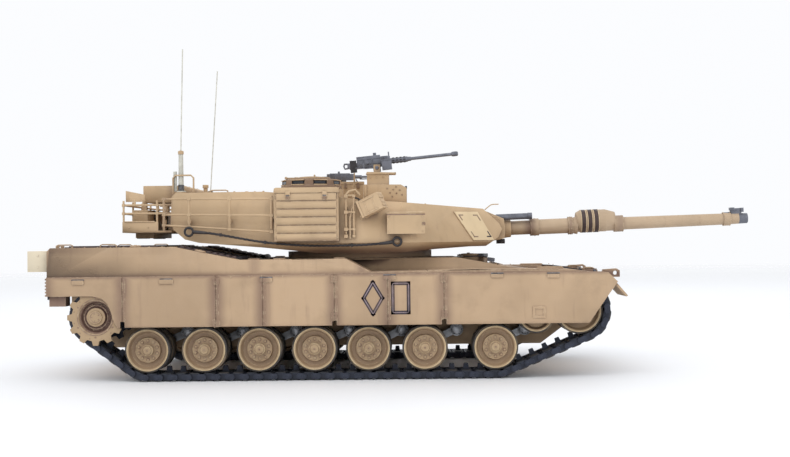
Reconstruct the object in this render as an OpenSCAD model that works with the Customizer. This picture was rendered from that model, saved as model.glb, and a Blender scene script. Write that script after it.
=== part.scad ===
// Radio-controlled model of a main battle tank, one sixteenth of full size.
// Millimetres. +X is forward, +Y is the left side, +Z is up. The origin is on the ground,
// on the centre line, halfway between the rear box and the muzzle.

/* [Running gear] */
// Radius of a road wheel over its tyre
wheel_r = 19.7; // [19.2:0.1:19.9]
// Height of the road wheel axles above the ground
axle_z = 27; // [27:0.1:27.4]
// Width of a track
track_w = 38; // [34:1:39]
// Longest pitch of a track link
link_pitch = 12.46; // [12.3:0.02:12.9]
// Teeth on each sprocket ring
sprocket_teeth = 12; // [10:1:14]
// Bolts on the face of each road wheel
wheel_bolts = 10; // [6:1:12]

/* [Hull] */
// Width over the side skirts
body_w = 230; // [230:1:236]
// Height of the engine deck
deck_z = 116.5; // [115.5:0.5:117]
// Height of the hull roof round the turret ring
roof_z = 104; // [103:0.5:104]
// Thickness of the hull and turret shells
shell_t = 3; // [2:0.5:4]

/* [Turret and gun] */
// Distance of the turret axis from the origin, along X
turret_x = -42; // [-43:0.5:-41]
// Elevation of the gun at rest, in degrees
gun_rise = 1.75; // [0:0.25:3]
// Radius of the hole in the muzzle
muzzle_bore_r = 3.1; // [2:0.1:3.4]
// Height of the antenna tips above the ground
antenna_top_z = 294; // [240:1:320]

/* [Quality] */
// Facets on large round parts
round_fn = 64; // [32:4:96]

/* [Hidden] */
SIDES = ["right", "left"];
WHEELS = [1:7];
NODES = concat(
    ["lower_hull", "upper_hull", "deck_grilles", "hull_fittings", "lamps", "driver_hatch",
     "battery_pack", "drive_gearboxes", "control_board",
     "turret_shell", "stowage_bins", "bustle_rack", "cupola", "turret_fittings", "antennas",
     "tow_cables", "gun_mantlet", "gun_barrel", "commander_hatch", "loader_hatch",
     "heavy_machine_gun", "loader_machine_gun"],
    [for (side = SIDES) each [str(side, "_skirt"), str(side, "_track"), str(side, "_sprocket"),
                              str(side, "_idler"), str(side, "_roller")]],
    [for (side = SIDES, i = WHEELS) str(side, "_wheel_", i)],
    [for (side = SIDES, i = WHEELS) str(side, "_arm_", i)]
);
node = "all";
$fn = 32;

// Colours
sand = [0.77, 0.66, 0.52];
turret_sand = [0.80, 0.70, 0.56];
wheel_sand = [0.74, 0.65, 0.50];
cell_blue = [0.20, 0.32, 0.50];
board_green = [0.10, 0.36, 0.20];
charcoal = [0.14, 0.15, 0.17];
steel = [0.52, 0.54, 0.57];
gun_grey = [0.30, 0.31, 0.34];
lens_glass = [0.12, 0.16, 0.22];

// Running gear, in the plane of one side
wheel_x = [-222.7, -173.2, -125.5, -77.8, -30.9, 17.7, 78.5];
sprocket_at = [-265.8, 56.4];
sprocket_pitch_r = 21;
sprocket_tip_r = 24.4;
sprocket_root_r = 20.5;
idler_at = [150.9, 57.7];
idler_r = wheel_r + 0.6;
roller_at = [113.8, 54.3];
roller_r = wheel_r - 3.7;
track_y = 90;
track_edge_in = track_y - track_w / 2;
track_edge_out = track_y + track_w / 2;
link_out = 3.8;
link_in = 3.2;
tyre_gap = 0.3;
wheel_pitch_r = axle_z - link_out;
idler_pitch_r = idler_r + tyre_gap + link_in;
ring_t = 2.7;
ring_gap = 0.3;
arm_pivot_dx = 28.7;
arm_pivot_z = 40;
arm_in_y = 61;
arm_t = 8;
axle_r = 2;
shaft_r = 3;
running_gap = 0.05;
tub_half_w = 60;

// Hull
skirt_out = body_w / 2;
hinge_proud = 0.8;
skirt_t = 1.8;
skirt_in = skirt_out - hinge_proud - skirt_t;
sponson_y = skirt_in - 0.2;
belly_z = 26;
sponson_z = 88;
hull_rear_x = -307.5;
// Centre of the driver's hatch along X, and the offset of its pivot to the left
driver_at = [62, 16];

// Turret and gun
ring_hole_r = 50;
collar_r = 68;
trunnion = [32, 0, 128.3];
gun_root_x = 93.5;
gun_root_z = 130.2;
muzzle_x = 326;
cupola_at = [-85, -33];
loader_at = [-84, 36];
hatch_hinge_up = 1.2;
mg_pivot = [-24, -33, 187];
mg_pin_r = 1.6;
// Just clear of the bustle roof
bustle_roof_z = 164.42;
lmg_at = [-60, 60];
lmg_post_z = 170;
lmg_foot_z = 158.9;
lmg_pin_r = 1.2;

// ---------------------------------------------------------------- shared shapes

// Puts what is drawn for the left side on the side named
module on_side(side) {
    if (side == "right") mirror([0, 1, 0]) children();
    else children();
}

// The same shape on both sides
module both_sides() {
    for (side = SIDES) on_side(side) children();
}

// A slab with an outline in X and Z, from y0 to y1
module slab(outline, y0, y1) {
    translate([0, y1, 0]) rotate([90, 0, 0]) linear_extrude(y1 - y0) polygon(outline);
}

// A block from one corner to the opposite one
module block(low, high) {
    translate(low) cube(high - low);
}

// A cylinder along +Y from y0 to y1 at [x, z]
module rod_y(at, r, y0, y1, fn = 32) {
    translate([at[0], y0, at[1]]) rotate([-90, 0, 0]) cylinder(h = y1 - y0, r = r, $fn = fn);
}

// A cylinder between two points
module rod(a, b, r, fn = 12) {
    d = b - a;
    turn = atan2(d[1], d[0]);
    tilt = acos(d[2] / norm(d));
    translate(a) rotate([0, tilt, turn]) cylinder(h = norm(d), r = r, $fn = fn);
}

// A solid skinned over rings of points, from the lowest ring to the highest
module loft(rings) {
    n = len(rings[0]);
    top = (len(rings) - 1) * n;
    faces = [
        [for (i = [0:n - 1]) i],
        for (k = [0:len(rings) - 2], i = [0:n - 1])
            [k * n + i, (k + 1) * n + i, (k + 1) * n + (i + 1) % n, k * n + (i + 1) % n],
        [for (i = [n - 1:-1:0]) top + i]
    ];
    polyhedron([for (ring = rings) each ring], faces, convexity = 6);
}

// A ring at height z from half an outline [x, y], mirrored across the centre line
function mirrored_ring(half, z) = concat(
    [for (p = half) [p[0], -p[1], z]],
    [for (i = [len(half) - 1:-1:0]) [half[i][0], half[i][1], z]]
);

// A round tube of radius r along a route of points
module tube(route, r, sides = 8) {
    last = len(route) - 1;
    function heading(i) = let (d = route[min(i + 1, last)] - route[max(i - 1, 0)]) d / norm(d);
    rings = [for (i = [0:last])
        let (t = heading(i), u = cross([0, 0, 1], t), across = u / norm(u), up = cross(t, across))
        [for (k = [0:sides - 1])
            let (a = 360 * k / sides) route[i] + r * (cos(a) * across + sin(a) * up)]];
    loft(rings);
}

// A hexagonal bolt head standing on z = 0
module bolt_head(across, tall) {
    cylinder(h = tall, d = across, $fn = 6);
}

// ---------------------------------------------------------------- track path

// The pitch line runs anticlockwise round these circles: [x, z, radius]
track_circles = [
    [wheel_x[0], axle_z, wheel_pitch_r],
    [wheel_x[6], axle_z, wheel_pitch_r],
    [idler_at[0], idler_at[1], idler_pitch_r],
    [sprocket_at[0], sprocket_at[1], sprocket_pitch_r]
];
track_n = len(track_circles);
function circle_at(i) = track_circles[(i + track_n) % track_n];
function run_vector(i) = let (a = circle_at(i), b = circle_at(i + 1)) [b[0] - a[0], b[1] - a[1]];
// Direction of the straight run that leaves circle i
function run_heading(i) = let (v = run_vector(i))
    atan2(v[1], v[0]) + asin((circle_at(i)[2] - circle_at(i + 1)[2]) / norm(v));
function run_length(i) = let (v = run_vector(i), dr = circle_at(i)[2] - circle_at(i + 1)[2])
    sqrt(v * v - dr * dr);
function wrap(a) = a - 360 * floor(a / 360);
// Angle turned round circle i before run i starts
function turn_at(i) = wrap(run_heading(i) - run_heading(i - 1));
function arc_length(i) = circle_at(i)[2] * turn_at(i) * PI / 180;
function span(i) = arc_length(i) + run_length(i);
function length_to(i) = i == 0 ? 0 : length_to(i - 1) + span(i - 1);
track_length = length_to(track_n);
link_count = ceil(track_length / link_pitch);
// [x, z, heading] at distance s along the pitch line
function path_at(s, i = 0) =
    s > span(i) ? path_at(s - span(i), i + 1) :
    let (c = circle_at(i), on_arc = s < arc_length(i),
         h = on_arc ? run_heading(i - 1) + s / c[2] * 180 / PI : run_heading(i),
         along = on_arc ? 0 : s - arc_length(i))
    [c[0] + c[2] * sin(h) + along * cos(h), c[1] - c[2] * cos(h) + along * sin(h), h];

// Puts a shape at a place on the pitch line, its +Z towards the inside of the loop
module on_track(s) {
    p = path_at(s);
    translate([p[0], 0, p[1]]) rotate([0, -p[2], 0]) children();
}

// One link: a shoe with two pads outside and a guide horn inside
module track_link() {
    half = 5.1;
    pad_half = 4.1;
    groove = 1.4;
    block([-half, track_edge_in, -link_out + groove], [half, track_edge_out, link_in]);
    for (y = [track_y - 9.2, track_y + 9.2])
        block([-pad_half, y - 7.6, -link_out], [pad_half, y + 7.6, -link_out + groove + 0.1]);
    slab([[-3, link_in - 0.1], [3, link_in - 0.1], [1.4, link_in + 5], [-1.4, link_in + 5]],
         track_y - 2, track_y + 2);
}

module track(side) {
    pin_r = 0.9;
    pitch = track_length / link_count;
    color(charcoal) on_side(side) for (k = [0:link_count - 1]) {
        on_track((k + 0.5) * pitch) track_link();
        on_track(k * pitch) rod_y([0, 0], pin_r, track_edge_in + 0.2, track_edge_out - 0.2, 16);
    }
}

// ---------------------------------------------------------------- wheels and arms

// Section of the outer half of a double wheel: [radius, distance outboard of the track centre]
function wheel_section(r) = [
    [axle_r + running_gap, 0], [axle_r + running_gap, 13], [0, 13], [0, 16.6],
    [3.2, 16.6], [3.6, 16.2], [3.6, 15.6], [4.8, 15.6], [5.2, 15.2], [5.4, 12.4],
    [10.4, 12.4], [11, 11.8], [11.4, 9.4], [r - 5, 9.8], [r - 4.1, 11],
    [r - 3.2, 15], [r - 1.6, 15.3], [r - 1.6, 14.6], [r - 0.5, 14.6], [r, 14.1],
    [r, 5.4], [r - 0.5, 4.9], [r - 3.2, 4.9], [r - 4.4, 6.8], [7, 6.8], [7, 0]
];
function inner_section(r) = [
    [axle_r + running_gap, 0.01], [axle_r + running_gap, -15], [6.4, -15], [6.4, -12.4],
    [r - 4.4, -9.6], [r - 3.2, -14.8], [r - 0.5, -14.8], [r, -14.3],
    [r, -5.4], [r - 0.5, -4.9], [r - 3.2, -4.9], [r - 4.4, -6.8], [7, -6.8], [7, 0.01]
];

module double_wheel(side, at, r, bolts) {
    bolt_circle_r = 8.3;
    color(wheel_sand) translate([at[0], 0, at[1]]) on_side(side)
        translate([0, track_y, 0]) rotate([-90, 0, 0]) {
            rotate_extrude($fn = round_fn)
                polygon(concat(wheel_section(r), [for (i = [13:-1:0]) inner_section(r)[i]]));
            for (i = [0:bolts - 1]) rotate(360 * (i + 0.5) / bolts)
                translate([bolt_circle_r, 0, 12.3]) bolt_head(2.1, 1);
        }
}

// Trailing arm: a shaft in the hull wall, the arm itself and the axle of its wheel
module swing_arm(side, i) {
    wheel = [wheel_x[i - 1], axle_z];
    pivot = [wheel[0] + arm_pivot_dx, arm_pivot_z];
    reach = norm(pivot - wheel);
    lean = atan2(pivot[1] - wheel[1], pivot[0] - wheel[0]);
    arm_out_y = arm_in_y + arm_t;
    color(steel) on_side(side) {
        rod_y(pivot, shaft_r, arm_in_y - 11, arm_in_y + 1);
        rod_y(pivot, 5.8, arm_in_y, arm_out_y + 1.5);
        rod_y(pivot, 3.1, arm_out_y, arm_out_y + 2.6);
        rod_y(wheel, 4.6, arm_in_y, arm_out_y + 2);
        rod_y(wheel, axle_r, arm_out_y, track_y + 12.5);
        translate([wheel[0], arm_in_y + 1.2, wheel[1]]) rotate([0, -lean, 0])
            translate([0, 0, -3.3]) cube([reach, arm_t - 2.4, 6.6]);
    }
}

// Outline of a toothed ring
function toothed(n, tip, root) = [
    for (k = [0:n - 1], corner = [[-0.30, root], [-0.17, tip], [0.17, tip], [0.30, root]])
        let (a = 360 / n * (k + corner[0])) corner[1] * [cos(a), sin(a)]
];

module sprocket(side) {
    drum_r = sprocket_pitch_r - link_in - tyre_gap;
    dish_r = 14.4;
    horn_groove_r = 11.6;
    out_y = track_edge_out + ring_gap;
    color(charcoal) translate([sprocket_at[0], 0, sprocket_at[1]]) on_side(side) {
        // Toothed rings beside the track
        for (y = [track_edge_in - ring_gap - ring_t, out_y])
            translate([0, y, 0]) rotate([-90, 0, 0]) difference() {
                linear_extrude(ring_t) polygon(toothed(sprocket_teeth, sprocket_tip_r, sprocket_root_r));
                translate([0, 0, -1]) cylinder(h = ring_t + 2, r = dish_r, $fn = round_fn);
                for (i = [0:5]) rotate(60 * i + 30) translate([17.2, 0, -1])
                    cylinder(h = ring_t + 2, r = 0.9);
            }
        // Drum, dish and hub
        translate([0, track_edge_in - ring_gap - ring_t, 0]) rotate([-90, 0, 0])
            rotate_extrude($fn = round_fn)
                polygon([[0, 0.4], [16, 0.4], [16, 3], [drum_r, 3], [drum_r, 18], [horn_groove_r, 18],
                     [horn_groove_r, 26], [drum_r, 26], [drum_r, 41.5], [dish_r + 1, 41.5],
                     [dish_r - 0.8, 41.2], [dish_r - 2.4, 37], [8.4, 37], [8, 42.4], [5.8, 42.4],
                     [5.5, 43.8], [0, 43.8]]);
        rod_y([0, 0], shaft_r, arm_in_y - 11, track_edge_in);
        for (i = [0:7]) rotate([0, 45 * i + 22.5, 0]) translate([10.6, track_edge_in + 33.9, 0])
            rotate([-90, 0, 0]) bolt_head(2, 1.2);
    }
}

// ---------------------------------------------------------------- hull

tub_outline = [[-262, belly_z], [122, belly_z], [168, 60], [171.5, 75.4], [129.5, sponson_z - 0.4],
               [-301, sponson_z - 0.4], [-301, 58]];
tub_inside = [[-260, belly_z + shell_t], [120, belly_z + shell_t], [164, 61], [167, 74],
              [167, sponson_z + 5], [-298, sponson_z + 5], [-298, 59]];

module lower_hull() {
    wall = tub_half_w - shell_t;
    color(sand) difference() {
        union() {
            difference() {
                slab(tub_outline, -tub_half_w, tub_half_w);
                slab(tub_inside, -wall, wall);
            }
            both_sides() {
                // Bearing bosses of the arms and of the drive shaft, and the fixed axles in front
                for (x = wheel_x) rod_y([x + arm_pivot_dx, arm_pivot_z], 5.4, wall - 5, tub_half_w + 0.6);
                rod_y(sprocket_at, 9, wall - 5, tub_half_w + 2);
                for (at = [idler_at, roller_at]) {
                    rod_y(at, 5, wall, track_edge_in + 2.5);
                    rod_y(at, axle_r, track_edge_in, track_y + 12.5);
                }
            }
            // Tow hook plates in front and bosses under the belly
            for (y = [-38, 38]) slab([[160, 50], [182, 66], [182, 72], [165, 76]], y - 3, y + 3);
        }
        both_sides() {
            for (x = wheel_x)
                rod_y([x + arm_pivot_dx, arm_pivot_z], shaft_r + running_gap, wall - 6, tub_half_w + 1);
            rod_y(sprocket_at, shaft_r + running_gap, wall - 6, tub_half_w + 3);
        }
        for (y = [-38, 38]) rod_y([175, 68.6], 2.2, y - 4, y + 4);
        // Switch hole and charging port in the belly
        block([-150, -12, belly_z - 1], [-118, 12, belly_z + shell_t + 1]);
    }
}

deck_outline = [[hull_rear_x, sponson_z], [hull_rear_x, deck_z - 3], [hull_rear_x + 3, deck_z],
                [-200, deck_z], [-141, roof_z], [48, roof_z], [92, 95.5], [174, 84], [180, 78], [177, 75.4],
                [173, 75.4], [130, sponson_z]];
side_outline = [[hull_rear_x, sponson_z], [hull_rear_x, deck_z - 3], [hull_rear_x + 3, deck_z],
                [-200, deck_z], [-141, roof_z + 0.5], [-50, roof_z + 0.5], [-28, 93], [60, 94.2],
                [143, 93.4], [168, 90], [182, 83.6], [181, 81.6], [166, sponson_z]];
deck_inside = [[hull_rear_x + 3, sponson_z - 1], [hull_rear_x + 3, deck_z - 4], [-201, deck_z - shell_t],
               [-142, roof_z - shell_t], [47, roof_z - shell_t], [90, 92.5], [126, sponson_z - 1]];
sponson_inside = [[-303, sponson_z + 2.2], [-303, deck_z - 4], [-202, deck_z - shell_t],
                  [-143, roof_z - shell_t], [-52, roof_z - shell_t], [-40, sponson_z + 2.2]];

module upper_hull() {
    inner = tub_half_w - shell_t;
    color(sand) difference() {
        union() {
            slab(deck_outline, -64, 64);
            both_sides() slab(side_outline, 63.9, sponson_y);
            // Rear plate above the engine outlet
            block([hull_rear_x + 0.5, -100, 80], [hull_rear_x + 6, 100, sponson_z + 1]);
            // Splash rail across the glacis
            translate([84, -52, 95.5]) rotate([0, 14, 0]) cube([3, 104, 3]);
            // Turret race
            translate([turret_x, 0, roof_z - 1]) cylinder(h = 1.4, r = collar_r + 3, $fn = round_fn);
            // Coaming, pivot boss and periscope blocks of the driver's hatch
            translate([driver_at[0], 0, 96]) cylinder(h = roof_z - 95.8, r = 12.5, $fn = round_fn);
            translate([driver_at[0], driver_at[1], 96]) cylinder(h = roof_z - 95.8, r = 5);
            for (a = [-28, 0, 28]) translate([driver_at[0], 0, 96]) rotate(a) translate([12.4, -4.5, 0])
                cube([4.4, 9, roof_z - 94.6]);
        }
        slab(deck_inside, -inner, inner);
        both_sides() slab(sponson_inside, inner - 1, sponson_y - shell_t);
        translate([turret_x, 0, sponson_z]) cylinder(h = 30, r = ring_hole_r + running_gap, $fn = round_fn);
        translate([driver_at[0], 0, 90]) cylinder(h = 30, r = 10, $fn = round_fn);
        translate([driver_at[0], driver_at[1], roof_z - 5]) cylinder(h = 6, r = axle_r + running_gap);
        // Panel lines of the deck and the sponson lids
        for (x = [-255, -205]) block([x, -sponson_y - 1, deck_z - 0.5], [x + 0.8, sponson_y + 1, deck_z + 1]);
        both_sides() for (x = [-96, -70]) block([x, 74, roof_z], [x + 0.7, sponson_y + 1, roof_z + 1]);
        both_sides() for (x = [20, 84, 130]) block([x, 66, 92.9], [x + 0.7, sponson_y + 1, 97]);
    }
}

// Louvred grilles over the engine and its radiators, on the deck and on its front slope
module deck_grilles() {
    // The sponsons slope a little less than the deck between them
    slope = atan2(deck_z - roof_z - 0.5, 59);
    color(charcoal) {
        for (y0 = [-98, -31, 36]) {
            block([-296, y0, deck_z + 0.02], [-214, y0 + 62, deck_z + 0.7]);
            for (i = [0:12]) translate([-293 + 6 * i, 0, deck_z])
                block([0, y0 + 3, 0.6], [3.4, y0 + 59, 1.6]);
        }
        translate([-200, 0, deck_z]) rotate([0, slope, 0]) for (y0 = [-100, 40]) {
            block([3, y0, 0.02], [56, y0 + 60, 0.7]);
            for (i = [0:8]) block([5 + 5.8 * i, y0 + 3, 0.6], [8.2 + 5.8 * i, y0 + 57, 1.7]);
        }
    }
}

// Panel seams of the skirt
seam_x = [-242, -161.5, -121.3, -59.7, -14, 34.3];
skirt_outline = [
    [hull_rear_x, 91.3], [hull_rear_x, 74.8], [-268, 74.8], [-259.5, 72.6], [-254.5, 67.5],
    [-251.5, 60], [-249, 52], [-246, 47.5], [158, 47.5], [183, 82.4], [175, 90.5], [168, 91.3]
];
// Hinge and latch blocks of the skirt: [x, z, length, height]
hinge_blocks = [
    [-204, 86.5, 12, 4], [-161, 86.6, 5, 5], [-161, 50.5, 6, 6], [-118, 87, 9, 4], [-59.7, 87.5, 5, 5],
    [-59.7, 55, 5, 9], [-12, 88, 8, 3.6], [34.5, 87, 5, 6], [34.5, 55.5, 5, 9], [80, 88.4, 10, 3],
    [128, 88, 9, 3.4], [-280, 86.5, 9, 4]
];

module skirt(side) {
    out_y = skirt_in + skirt_t;
    color(sand) on_side(side) difference() {
        union() {
            slab(skirt_outline, skirt_in, out_y);
            for (b = hinge_blocks) block([b[0] - b[2] / 2, out_y - 0.1, b[1] - b[3] / 2],
                                         [b[0] + b[2] / 2, skirt_out, b[1] + b[3] / 2]);
            difference() {
                block([110, out_y - 0.1, 52], [121, out_y + 0.6, 62]);
                block([112, out_y - 1, 54], [119, out_y + 1, 60]);
            }
            // Raised lips between the panels
            for (x = seam_x) block([x + 0.9, out_y - 0.1, 50], [x + 2.4, out_y + 0.3, 89]);
        }
        for (x = seam_x) block([x - 0.4, out_y - 0.7, 46], [x + 0.4, out_y + 1, 92]);
        for (i = [0, 3, 5])
            block([seam_x[i] - 2, skirt_in - 1, 46], [seam_x[i] + 2, out_y + 2, 52.5]);
    }
}

// Fittings fixed to the hull: rear box, tow eyes, lifting eyes, mudflaps and tail guards
module hull_fittings() {
    color(sand) {
        // Telephone box on the right of the rear plate
        difference() {
            block([-326, -106, 96], [hull_rear_x - 0.02, -78, 114]);
            block([-327, -104, 98], [-325.2, -80, 112]);
        }
        block([-325.8, -101, 103], [-324.6, -97, 107]);
        // Tail lamp guards and exhaust louvres
        both_sides() block([hull_rear_x - 3, 60, 98], [hull_rear_x - 0.02, 74, 108]);
        for (i = [0:6]) translate([hull_rear_x - 3, -46, 90 + 3 * i]) rotate([0, 20, 0]) cube([2.6, 92, 1]);
        both_sides() {
            for (y = [46.4, 47.6]) block([hull_rear_x - 3.4, y - 1.2, 89], [hull_rear_x - 0.02, y, 112]);
            // Tow pintles
            slab([[hull_rear_x - 8, 82], [hull_rear_x - 0.02, 81], [hull_rear_x - 0.02, 87],
                  [hull_rear_x - 8, 86]], 30, 34);
            // Front mudflaps
            slab([[178, 82.75], [183, 80.75], [192, 70.2], [190.6, 69.4], [182, 79], [177.4, 81.4]],
                 66, 111.8);
            // Lifting eyes on the front fenders
            difference() {
                slab([[172, 89.6], [178.6, 86], [187, 86], [187, 91.6], [184, 93.4], [172, 92.6]], 98, 101);
                rod_y([183, 89.6], 1.8, 97, 102);
            }
            // Lifting eyes on the rear deck
            difference() {
                block([-306, 88, deck_z + 0.02], [-299, 90.5, deck_z + 2]);
                rod_y([-302.5, deck_z + 0.7], 0.8, 87, 92, 16);
            }
        }
    }
}

module lamps() {
    both_sides() {
        color(lens_glass) {
            translate([171.2, 50, 88.9]) rotate([0, 90, 0]) cylinder(h = 3.8, r = 2.9);
            translate([hull_rear_x - 4.4, 67, 103]) rotate([0, 90, 0]) cylinder(h = 1.36, r = 3);
        }
        color(sand) difference() {
            slab([[162, 85.9], [171, 84.7], [171, 93], [162, 93]], 45.6, 54.4);
            block([168, 46.6, 86], [173, 53.4, 92]);
        }
    }
}

// Driver's hatch: a round plate on an arm, with a pivot pin in the roof beside it
module driver_hatch() {
    plate_z = roof_z + 0.5;
    color(sand) translate([driver_at[0], 0, 0]) {
        difference() {
            union() {
                translate([0, 0, plate_z]) cylinder(h = 1.4, r = 11.5, $fn = round_fn);
                translate([0, 0, plate_z + 1.3]) cylinder(h = 0.9, r = 8, $fn = round_fn);
                translate([-5, 0, plate_z]) cube([10, driver_at[1], 1.6]);
                translate([0, driver_at[1], plate_z]) cylinder(h = 2.2, r = 5);
            }
            translate([0, 0, plate_z + 1.7]) cylinder(h = 2, r = 3, $fn = 6);
        }
        translate([0, driver_at[1], roof_z - 4.6]) cylinder(h = 5.2, r = axle_r);
    }
}

// ---------------------------------------------------------------- inside the hull

// Six cells in a row of three by two, in a sleeve with end caps
module battery_pack() {
    cell_r = 11;
    color(cell_blue) for (row = [0, 1], i = [0:2])
        translate([-70 + 46 * i, -11.3 + 22.6 * row, belly_z + shell_t + 11.4]) rotate([0, 90, 0])
            cylinder(h = 44, r = cell_r);
}

// Two gearboxes, each with its motor
module drive_gearboxes() {
    floor_z = belly_z + shell_t + 0.4;
    color(gun_grey) both_sides() {
        block([-274.5, 24, 43], [-238, 49.6, 78]);
        translate([-240, 37, 48]) rotate([0, 90, 0]) cylinder(h = 38, r = 13.5);
        translate([-202, 37, 48]) rotate([0, 90, 0]) cylinder(h = 5, r = 3);
        block([-250, 26, floor_z], [-242, 48, 43.1]);
    }
}

// Receiver and motor controller board on four posts, with its parts and a loudspeaker
module control_board() {
    base_z = belly_z + shell_t + 0.3;
    color(board_green) block([66, -40, base_z + 6], [126 - 10, 40, base_z + 7.6]);
    color(charcoal) {
        for (x = [72, 110], y = [-35, 35]) translate([x, y, base_z]) cylinder(h = 6.1, r = 2.5);
        block([76, -24, base_z + 7.5], [92, -8, base_z + 9.5]);
        block([84, 6, base_z + 7.5], [104, 24, base_z + 12]);
        for (y = [-32, -26, -20]) translate([106, y, base_z + 7.5]) cylinder(h = 9, r = 2.4);
    }
}

// ---------------------------------------------------------------- turret

// Side outline of the turret body
turret_side = [
    [92.5, 130.5], [90.5, 134], [74, 148.5], [-15, 154.5], [-124, 164.4], [-203, 164.4], [-206.5, 161],
    [-206.5, 137], [-203, 131], [-193, 122.7], [-180, 119.6], [-125, 115], [-75, 109.4], [-55, 108.8],
    [0, 109.4], [29, 111.7], [60, 113.6], [76, 113.8], [88, 122]
];
// Half outlines of the turret seen from above, at its belly, its widest edge and its roof
belly_half = [[-208, 72], [-110, 79], [0, 78], [76, 21]];
edge_half = [[-208, 84], [-112, 92], [8, 92], [98, 21]];
roof_half = [[-208, 74], [-112, 83], [-6, 83], [73, 19]];
belly_edge_z = 108;
edge_z = 118;
roof_edge_z = 166;
slot_half_w = 15.5;

module turret_body(inset) {
    intersection() {
        loft([mirrored_ring(inset_half(belly_half, inset), belly_edge_z),
              mirrored_ring(inset_half(edge_half, inset), edge_z),
              mirrored_ring(inset_half(roof_half, inset), roof_edge_z)]);
        if (inset == 0) slab(turret_side, -100, 100);
        else slab([[80, 130], [66, 144], [-16, 154.5 - inset], [-124, 164.4 - inset], [-202, 164.4 - inset],
                   [-202, 134], [-192, 127], [-124, 118.5], [-74, 112.4], [58, 116.5], [72, 119]], -100, 100);
    }
}
function inset_half(half, inset) = [for (p = half) [p[0] + (p[0] < 0 ? inset : -1.4 * inset), p[1] - inset]];

module turret_shell() {
    color(turret_sand) difference() {
        union() {
            turret_body(0);
            // Collar and spigot in the turret ring
            translate([turret_x, 0, roof_z + 0.7]) cylinder(h = 6, r = collar_r, $fn = round_fn);
            translate([turret_x, 0, roof_z - 9]) cylinder(h = 12, r = ring_hole_r, $fn = round_fn);
            // Blow-off panels on the bustle roof
            for (y = [-36, 4]) block([-196, y, 163], [-150, y + 32, 165.8]);
            for (y = [-64, 38]) block([-196, y, 163], [-130, y + 26, 165.2]);
            // Bosses of the commander's and loader's stations
            translate([cupola_at[0], cupola_at[1], 154]) cylinder(h = 13.6, r = 29.5, $fn = round_fn);
            translate([loader_at[0], loader_at[1], 154]) cylinder(h = 11.4, r = 22, $fn = round_fn);
            // Lifting eyes on the roof
            for (p = [[40, 46], [40, -46], [-140, 70], [-140, -70]])
                translate([p[0], p[1], p[0] > 0 ? 147.5 : 162]) rotate([90, 0, 0])
                    rotate_extrude($fn = 32) translate([2.6, 0]) circle(r = 0.9, $fn = 24);
            // Cheek panels
            both_sides() cheek_panel();
        }
        turret_body(shell_t);
        translate([turret_x, 0, roof_z - 10]) cylinder(h = 14, r = ring_hole_r - 3, $fn = round_fn);
        // Slot of the gun mantlet
        block([18, -slot_half_w, 112.8], [96, slot_half_w, 145.4]);
        block([30, -slot_half_w, 140], [96, slot_half_w, 160]);
        // Trunnion bores
        rod_y([trunnion[0], trunnion[2]], shaft_r + running_gap, -26, 26);
        // Hatch wells
        translate([cupola_at[0], cupola_at[1], 160]) cylinder(h = 10, r = 17, $fn = round_fn);
        translate([loader_at[0], loader_at[1], 160]) cylinder(h = 10, r = 15.5, $fn = round_fn);
    }
    // Trunnion bearings beside the gun slot
    color(turret_sand) both_sides() difference() {
        block([22, slot_half_w + 0.4, 113.2], [42, slot_half_w + 6, 142.6]);
        rod_y([trunnion[0], trunnion[2]], shaft_r + running_gap, slot_half_w - 1, slot_half_w + 8);
    }
}

// Panel that lies on the sloping upper face of the left cheek
module cheek_panel() {
    foot = edge_half[3];
    run = edge_half[2] - foot;
    fall = roof_half[3] - foot;
    across = [run[1], -run[0]] / norm(run);
    lean = atan2(-(fall * across), roof_edge_z - edge_z);
    translate([foot[0], foot[1], edge_z]) rotate(atan2(run[1], run[0])) rotate([-lean, 0, 0]) {
        slab([[18.7, 0.8], [44.2, 0.8], [59.6, 29], [30.6, 29]], -0.9, 0.8);
    }
}

// Ribbed bins on the turret sides, each with its lid
module stowage_bins() {
    color(turret_sand) both_sides() {
        difference() {
            union() {
                block([-112, 92.3, 120], [-56, 101, 162]);
                slab([[-112.6, 162], [-55.4, 162], [-56, 166], [-57.4, 166.8], [-110.6, 166.8], [-112, 166]],
                     84.5, 101.8);
                // Six raised panels with narrow grooves between them
                for (i = [0:5]) translate([0, 0, 120.5 + 7.05 * i])
                    block([-110, 100.9, 0], [-58, 101.7, 5.9]);
            }
            block([-110, 94, 122], [-58, 99.4, 161]);
        }
        // Latches and bracket
        for (x = [-100, -68]) block([x - 2, 101, 158.5], [x + 2, 102.6, 163.5]);
        translate([-104, 0, 0]) rotate([90, 0, 90]) linear_extrude(40)
            polygon([[89.97, 129.4], [92.4, 129.4], [92.4, 150], [86.1, 150]]);
        // Side box in front, with its lid lip
        block([-14, 92.1, 125.5], [19, 98.4, 143]);
        block([-14.6, 87.5, 142.9], [19.6, 99, 144.4]);
    }
}

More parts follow.
